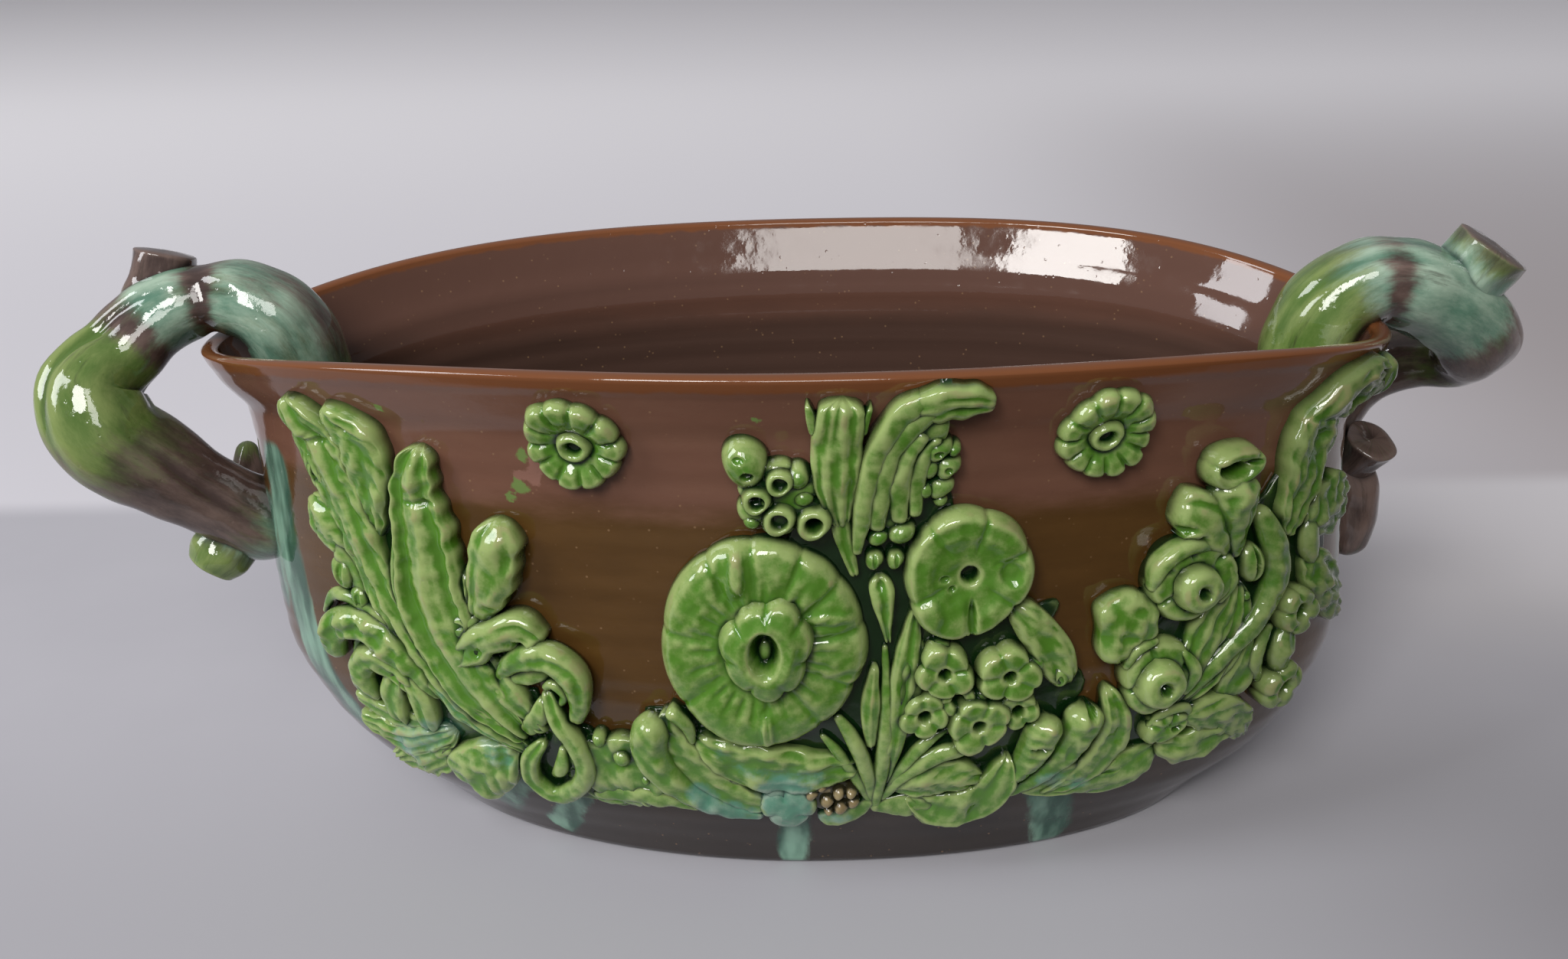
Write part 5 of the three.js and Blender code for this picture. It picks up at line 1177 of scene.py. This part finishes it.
def make_right_spray():
    def rose(u, v, r):
        curled = [(u + 0.62 * r * math.cos(a), v + 0.62 * r * math.sin(a), 8.9 - 0.1 * i)
                  for i, a in enumerate(np.radians((10, 50, 95, 140, 185, 230, 275)))]
        return (bloom((u, v), (r, r * 1.02), (2.2, 4.6, 5.8, 5.4, 4.4, 2.6), seat=SEAT + 5.0, wobble=0.03,
                      edge=0.3, pits=((u + 0.5, v - 1.0, 1.8, 1.6, 2.2),)),
                cord(curled, (0.4, 0.8, 0.9, 0.9, 0.4)))

    garland("upper_rose", *rose(103, 98, 7.8))
    garland("lower_rose", *rose(93.6, 68.8, 8))
    garland("trumpets",
        bloom((114, 133.6), (10.2, 6.8), (5.4, 6, 6.8, 7.6, 7.2, 5), tilt=0.2, wobble=0.07, notch=0.12,
            joins=(28, 150, 262), crease=0.8, dome=0.5, crease_from=0.6, edge=0.22,
            pits=((112.4, 133.4, 5, 2.8, 6.6), (118.5, 135.6, 3.4, 1.1, 1.4))),
        cord([(117.2, 103, 0.6), (116.6, 114, 1.8), (115.4, 123, 2.6), (114.2, 131, 1.8)],
            (2.6, 4.6, 6.8, 8.6), pits=((118.6, 120, 1.4, 7, 0.8), (112.6, 124, 1.2, 6, -0.4)),
            point=0.6),
        blade([(97.6, 121.6), (103.2, 119.6), (108.6, 113.6), (115.6, 105.4)], (5.6, 8, 6.2, 2.8),
            (5, 6.8, 6, 3.4), point=0.45, uneven=0.4, ribs=((0.5, -0.9, 0.14), (-0.45, 0.7, 0.2)),
            pits=((98.6, 115.6, 4.6, 1.6, 2.2), (104.4, 112.4, 1.4, 1.6, 1.4))))
    garland("upper_rose_collar",
        bloom((103, 99.5), (14.8, 13.4), (4.6, 4.8, 5, 5.4, 5.4, 3.6), joins=(38, 95, 150, 215, 300),
            notch=0.1, crease=1.2, dome=0.9, crease_from=0.45, wobble=0.04),
        cord([(90.4, 97, 3.2), (92.6, 105.4, 4.6), (100.6, 110.6, 5), (110, 109, 3.8)],
            (1.2, 2.4, 2.4, 1.2)),
        cord([(112.6, 105, 3.8), (115.4, 98, 4), (112, 90, 3)], (1.2, 2, 1)))
    garland("lower_rose_collar",
        bloom((94.6, 69.4), (11.8, 12.6), (4.6, 4.8, 5, 5.2, 4.8, 3.2), joins=(20, 110, 200, 290),
            notch=0.1, crease=1.1, dome=0.8, crease_from=0.5, wobble=0.04),
        cord([(100.6, 77.4, 3.6), (105, 70.4, 4.6), (103, 61.6, 3.4)], (1, 2.2, 1)),
        cord([(84, 73, 3.2), (86.6, 79.6, 4.2), (93.6, 81.6, 3.4)], (1, 1.8, 1)))
    garland("lobed_leaf",
        blade([(84, 74.6), (83.4, 83), (85.6, 91), (88, 97)], (4.6, 8.2, 9.2, 5.2), (4.2, 5.6, 6, 4.4),
            point=0.8, lobes=2, lobe=0.1, uneven=0.7, ribs=((0.1, -0.9, 0.16), (-0.5, -0.6, 0.14)),
            pits=((84, 84, 3.6, 2, 1), (87, 92, 2.2, 2.2, 0.8))))
    garland("hooked_stem",
        cord([(125.6, 118.4, 1.2), (130.2, 108, 2.6), (131.6, 95, 3), (126, 83, 2.8), (116, 73, 2.2),
            (99, 55, 0.4)], (2.8, 4.6, 4, 3.6, 3.2, 1.4), groove=0.6),
        bead((123.4, 101), (5.2, 7.4), 6, 0.2, pits=((123.6, 101.2, 0.9, 6, 2.2),)),
        bead((122, 90.6), (2.2, 2.2), 3.8),
        cord([(120.4, 97, 0.4), (116, 82, 1.6), (104, 66, 0.4)], (1, 2.4, 1)),
        cord([(127.6, 79, 0.4), (118, 68, 1.4), (102.6, 56.6, 0.2)], (1, 2.2, 0.9)))
    florets = ((142.4, 81.6, 8.6, 30), (140, 56.5, 8.4, 50))
    garland("side_florets",
        *[bloom((u, v), (r, r), (3, 4.8, 6.2, 6, 3.8), petals=5, phase=turned, notch=0.16, crease=0.8,
            dome=0.6, crease_from=0.4, wobble=0.04, pits=((u, v, 2.6, 2.6, 3.6),)) for u, v, r,
            turned in florets],
        cord([(143, 80, 0.8), (137.5, 69, 2.2), (139.8, 58, 0.8)], (2, 4.4, 2.2), groove=0.5),
        cord([(135, 78, 0.4), (128, 68, 1.6), (133, 58, 0.4)], (1.2, 3, 1.2)))
    garland("rim_leaf",
        blade([(136.4, 107), (141.5, 125), (144.5, 139), (150, 150), (158, 156.6), (166, 159)],
            (2.2, 6, 7.4, 8, 7, 4.6), (3.6, 5, 5.6, 5.6, 5.2, 4.2), point=0.8,
            ribs=((0.1, -1.5, 0.14), (-0.62, 1.1, 0.12), (0.62, 1, 0.13), (-0.3, -0.8, 0.1)), veins=7,
            vein=0.45, uneven=0.8, lobes=3, lobe=0.07, pits=((146.6, 140, 2.4, 2.8, 1.4),
            (155, 152, 2.4, 3, 1.6))),
        bead((168.6, 156.4), (4.6, 6.6), 5.6, -0.3, wobble=0.06, pits=((167.4, 156, 1.2, 3.4, 0.6),)),
        blade([(146, 122), (150.4, 134), (157, 145)], (1.4, 3.4, 1.6), (3.2, 4.2, 3),
            ribs=((0, -0.9, 0.2),), uneven=0.7))
    garland("end_leaves",
        blade([(145, 106), (157, 114), (170, 119.6)], (2.8, 9.2, 8.4, 3), (3.2, 4.8, 4.6, 2.8), veins=5,
            vein=0.6, ribs=((0, 1.2, 0.12), (0.5, -0.7, 0.15), (-0.5, -0.7, 0.15)), lobes=3, lobe=0.1,
            uneven=0.7),
        blade([(146, 101), (156, 87), (168.6, 70)], (3.4, 7.4, 6.2, 2.2), (3.6, 5.6, 4.8, 2.8), veins=5,
            vein=0.6, ribs=((0, 1, 0.12), (0.5, -0.8, 0.15)), uneven=0.7, pits=((157, 86, 2, 2, 1.6),)),
        cord([(150, 115, 0.6), (146.6, 104, 1.8), (151, 92, 0.6)], (2, 3.6, 2)))
    garland("fan_leaf",
        blade([(120, 96), (113, 78), (99.6, 56)], (4.4, 10.2, 9.4, 3.4), (3, 4, 3.8, 2.4), flutes=5,
            flute=0.55, uneven=0.5),
        blade([(128, 76), (122, 62), (117, 53)], (2.8, 6, 2.8), (2.6, 3.6, 2.4), uneven=0.7,
            ribs=((0.2, -0.9, 0.15), (-0.5, 0.6, 0.15))))
    garland("small_rosette",
        bloom((100.4, 51), (8, 6.8), (3.6, 4.4, 4.8, 4.4, 3.2), joins=(20, 75, 120, 160, 250),
            notch=0.12, crease=0.8, dome=0.35, crease_from=0.3, wobble=0.07, edge=0.3, cut=1,
            pits=((103.6, 50.4, 1.8, 1.2, 2),)),
        cord([(94.4, 51, 2.2), (98, 56.6, 3), (104, 57.4, 3), (108.6, 53, 2.2)], (0.9, 1.7, 1.7, 0.9)))
    garland("long_low_leaf",
        blade([(80, 67), (83.6, 53), (80, 40), (66.6, 29.6)], (1.8, 5, 6.2, 5, 1.4),
            (3, 4.6, 4.6, 4, 2.4), ribs=((0.25, -1.1, 0.16), (-0.6, 0.9, 0.14)), uneven=0.6))
    garland("right_ruffle",
        blade([(103, 54.6), (121, 50.5), (136.6, 37.6)], (2.6, 6.4, 6.2, 1.8), (3.2, 4.8, 4.4, 2.6),
            veins=5, vein=0.6, ribs=((0, 0.9, 0.12), (0.5, -0.6, 0.15)), lobes=3, lobe=0.08,
            uneven=0.7),
        blade([(101, 42), (114, 40), (130, 44)], (3.4, 6.6, 3), (3, 4.2, 2.8), lobes=3, lobe=0.1,
            uneven=0.7, ribs=((0.2, -1, 0.15), (-0.5, 0.6, 0.15))))
    garland("right_band",
        blade([(57, 35.6), (76, 36), (90, 34.6), (103, 41.6)], (4.6, 8, 8, 4.2), (2.4, 3.4, 3.4, 2.4),
            uneven=0.9, ribs=((0.2, -0.8, 0.15),)),
        bead((87, 36), (6, 6.6), 3.8, wobble=0.06, pits=((87, 37, 3.6, 1, 0.7),)))


def make_grounds():
    """The thin pads that the relief sits on; dark glaze pools on them, and the same dark is painted shade
    between the forms.
    """
    def pad(line, widths):
        return blade(line, widths, (1.2,), edge=1.0, seat=0.5, uneven=0.15, lobes=4, lobe=0.03)

    garland("middle_ground",
        pad([(6, 141), (8, 132), (12, 118), (9, 100), (8, 84), (13, 66), (12, 48), (12, 33), (14, 25)],
            (14, 22, 33, 43, 48, 57, 60, 50, 26)))
    garland("left_ground",
        pad([(-139, 140), (-135, 126), (-126, 98), (-116, 74), (-100, 54), (-76, 40), (-50, 33)],
            (14, 17, 21, 24, 19, 15, 9)))
    garland("right_ground",
        pad([(148, 138), (145, 116), (134, 94), (117, 76), (99, 55), (84, 43), (73, 37.5)],
            (6, 15, 25, 24, 21, 12, 7)))


def make_rosettes():
    places = (("left_rosette", -64.3, 145.6, 11, 12), ("right_rosette", 75, 146, 12, 4))
    for name, u, v, petals, phase in places:
        garland(name,
            bloom((u, v), (13.9, 13.9), (2, 2.4, 2.6, 3.6, 4.4, 4.4, 3.2), petals=petals, phase=phase,
                notch=0.09, crease=1.3, dome=0.45, crease_from=0.42, cut=0.55, seat=0.8, wobble=0.012),
            bloom((u, v), (5.4, 5.4), (-0.4, 0.4, 2.6, 3.6, 3.2, 2), seat=SEAT, wobble=0.02, edge=0.3))


make_middle()
make_left_spray()
make_right_spray()
make_grounds()
make_rosettes()


def neighbour_mean(points, edges, count, times):
    """Each point's place after it is drawn towards its neighbours that many times."""
    degree = np.bincount(edges.ravel(), minlength=len(points))[:, None]
    moved = points
    for _ in range(times):
        total = np.stack([
            np.bincount(edges[:, 0], moved[edges[:, 1], k], count)
            + np.bincount(edges[:, 1], moved[edges[:, 0], k], count) for k in range(3)], axis=-1)
        moved = 0.5 * moved + 0.5 * total / np.maximum(degree, 1)
    return moved


def mark_pools_and_shade():
    """Marks where glaze pools and where shade is painted, from how closed in each place is and how low it
    lies, and where it thins.
    """
    whole = bmesh.new()
    for piece in finished:
        whole.from_mesh(piece.data)
    tree = BVHTree.FromBMesh(whole)
    whole.free()
    for piece in finished:
        mesh = piece.data
        count = len(mesh.vertices)
        at = np.empty(3 * count, np.float32)
        mesh.vertices.foreach_get("co", at)
        at = at.reshape(-1, 3).astype(float)
        out = np.empty(3 * count, np.float32)
        mesh.vertex_normals.foreach_get("vector", out)
        out = out.reshape(-1, 3).astype(float)
        edges = np.empty(2 * len(mesh.edges), np.int32)
        mesh.edges.foreach_get("vertices", edges)
        edges = edges.reshape(-1, 2)
        raised = ((at - neighbour_mean(at, edges, count, CREST_PASSES)) * out).sum(axis=1) / MM
        set_values(mesh, "crest", np.clip(0.2 + 1.7 * raised, 0, 1))
        if piece.name == "glazed_bowl":
            continue
        low = np.zeros(count, np.float32)
        if "low" in mesh.attributes:
            mesh.attributes["low"].data.foreach_get("value", low)
        aside = np.cross(out, (0.31, 0.17, 0.93))
        aside /= np.maximum(np.linalg.norm(aside, axis=1, keepdims=True), 1e-6)
        other = np.cross(out, aside)
        # How closed in each point is, from rays that hit nearby walls: painted shade in recesses, which
        # also stands for pooled glaze
        closed_in = np.zeros(count)
        start = at + out * POOL_AND_SHADE_START
        for step, turn in enumerate(np.arange(6) * PI / 3):
            way = out * 0.62 + 0.78 * (aside * math.cos(turn) + other * math.sin(turn))
            for i in range(step % 3, count, 3):
                hit = tree.ray_cast(Vector(start[i]), Vector(way[i]), POOL_AND_SHADE_REACH)[3]
                if hit is not None:
                    closed_in[i] += 1 - hit / POOL_AND_SHADE_REACH
        shared = np.stack([closed_in / 2, closed_in, closed_in], axis=-1)
        shared = neighbour_mean(shared, edges, count, POOL_AND_SHADE_PASSES)[:, 0]
        # Points near the bowl's face also get painted shade at the forms' feet
        set_values(mesh, "pool_and_shade", np.clip(shared * 1.45 + 0.55 * low, 0, 1))


mark_pools_and_shade()


# Floor, light and camera
def make_stage():
    """A floor painted as the pale table and the far wall, with painted shadows and painted light on
    them. In front it is dark to reflections and bounced light but pale to the camera, which keeps
    the bowl's low front dark as in the photo."""
    bm = bmesh.new()
    bmesh.ops.create_circle(bm, cap_ends=True, segments=96, radius=6.0)
    mesh = bpy.data.meshes.new("floor")
    bm.to_mesh(mesh)
    bm.free()
    floor = bpy.data.objects.new("floor", mesh)
    floor.location = (0, 0, -0.0002)
    bpy.context.scene.collection.objects.link(floor)
    finish = bpy.data.materials.new("pale_floor")
    finish.use_nodes = True
    tree = finish.node_tree
    place = node(tree, "ShaderNodeTexCoord").outputs["Object"]
    split = node(tree, "ShaderNodeSeparateXYZ", {0: place}).outputs
    across, away = split["X"], split["Y"]
    back = ranged(tree, away, *TABLE_END)
    grain = noise(tree, place, 14.0, 5.0)
    table = mixed(tree, grain, rgb(0.405, 0.40, 0.435), rgb(0.445, 0.44, 0.475))

    # The wall is painted paler further up, painted light that makes up for the lamps' falloff, and
    # dims to the right in a painted shadow of the bowl
    dim = times(tree, ranged(tree, across, 0.10, 0.52), ranged(tree, away, 2.0, 0.2))
    wall = mixed(tree, ranged(tree, away, 0.3, 1.9), rgb(0.60, 0.59, 0.63), rgb(0.95, 0.94, 0.97))
    wall = mixed(tree, dim, wall, rgb(0.36, 0.33, 0.335))

    # The table is painted darker in front as painted shade, darkest at the right in a painted
    # shadow of the bowl, and paler next to the right handle as painted light
    corner_shadow = times(tree, ranged(tree, across, 0.06, 0.34), ranged(tree, away, 0.03, -0.10))
    near = ranged(tree, away, 0.06, -0.11)
    table = mixed(tree, near, table, rgb(0.365, 0.36, 0.39))
    table = mixed(tree, corner_shadow, table, rgb(0.17, 0.165, 0.172))
    handle_side_light = times(tree, ranged(tree, across, 0.14, 0.32), ranged(tree, away, 0.02, 0.12))
    table = mixed(tree, handle_side_light, table, rgb(0.56, 0.545, 0.565))
    color = mixed(tree, back, table, wall)

    # What the camera doesn't see directly is dark in front
    front = ranged(tree, away, *DARK_FLOOR_END)
    front = worked(tree, "MAXIMUM", front, node(tree, "ShaderNodeLightPath").outputs["Is Camera Ray"])
    color = mixed(tree, front, rgb(0.045, 0.035, 0.03), color)
    shader = tree.nodes["Principled BSDF"]
    tree.links.new(color, shader.inputs["Base Color"])
    shader.inputs["Roughness"].default_value = 0.6
    mesh.materials.append(finish)


def make_light():
    """Two window panes in front, a window at the left, and a dim room that darkens to the right."""
    for name, at, size, power, color in (
        ("window_left_pane", (-1.50, -3.52, 2.97), (1.2, 1.87), 128, (1.0, 0.98, 0.95)),
        ("window_right_pane", (-0.08, -3.74, 2.97), (1.2, 1.87), 62, (1.0, 0.98, 0.95)),
        ("side_window", (-3.1, -1.2, 2.4), (1.5, 2.2), 105, (0.96, 0.97, 1.0)),
    ):
        light = bpy.data.lights.new(name, "AREA")
        light.shape = "RECTANGLE"
        light.size, light.size_y = size
        light.energy = power
        light.color = color
        lamp = bpy.data.objects.new(name, light)
        lamp.location = at
        lamp.rotation_euler = (Vector((0, 0, 0.1)) - Vector(at)).to_track_quat("-Z", "Y").to_euler()
        bpy.context.scene.collection.objects.link(lamp)
    world = bpy.data.worlds.new("studio")
    world.use_nodes = True
    tree = world.node_tree
    way = node(tree, "ShaderNodeSeparateXYZ", {0: node(tree, "ShaderNodeTexCoord").outputs["Generated"]})
    room = mixed(tree, ranged(tree, way.outputs["X"], -0.2, 0.8), rgb(0.62, 0.61, 0.65),
                 rgb(0.34, 0.32, 0.32))
    tree.links.new(room, tree.nodes["Background"].inputs["Color"])
    tree.nodes["Background"].inputs["Strength"].default_value = 0.45
    bpy.context.scene.world = world


def make_camera():
    """The photograph's place and angle of view."""
    camera = bpy.data.cameras.new("camera")
    camera.sensor_width = 36.0
    camera.sensor_fit = "HORIZONTAL"
    camera.lens = FOCAL_PIXELS / PHOTO_WIDTH * camera.sensor_width
    camera.clip_start = 0.01
    seen = bpy.data.objects.new("camera", camera)
    right = Vector(CAMERA_RIGHT)
    up = Vector(CAMERA_UP)
    back = right.cross(up)
    turn = Matrix((right, up, back)).transposed().to_4x4()
    seen.matrix_world = Matrix.Translation(Vector(CAMERA_PLACE) * MM) @ turn
    bpy.context.scene.collection.objects.link(seen)
    bpy.context.scene.camera = seen


make_stage()
make_light()
make_camera()
bpy.context.scene.view_settings.view_transform = "Standard"
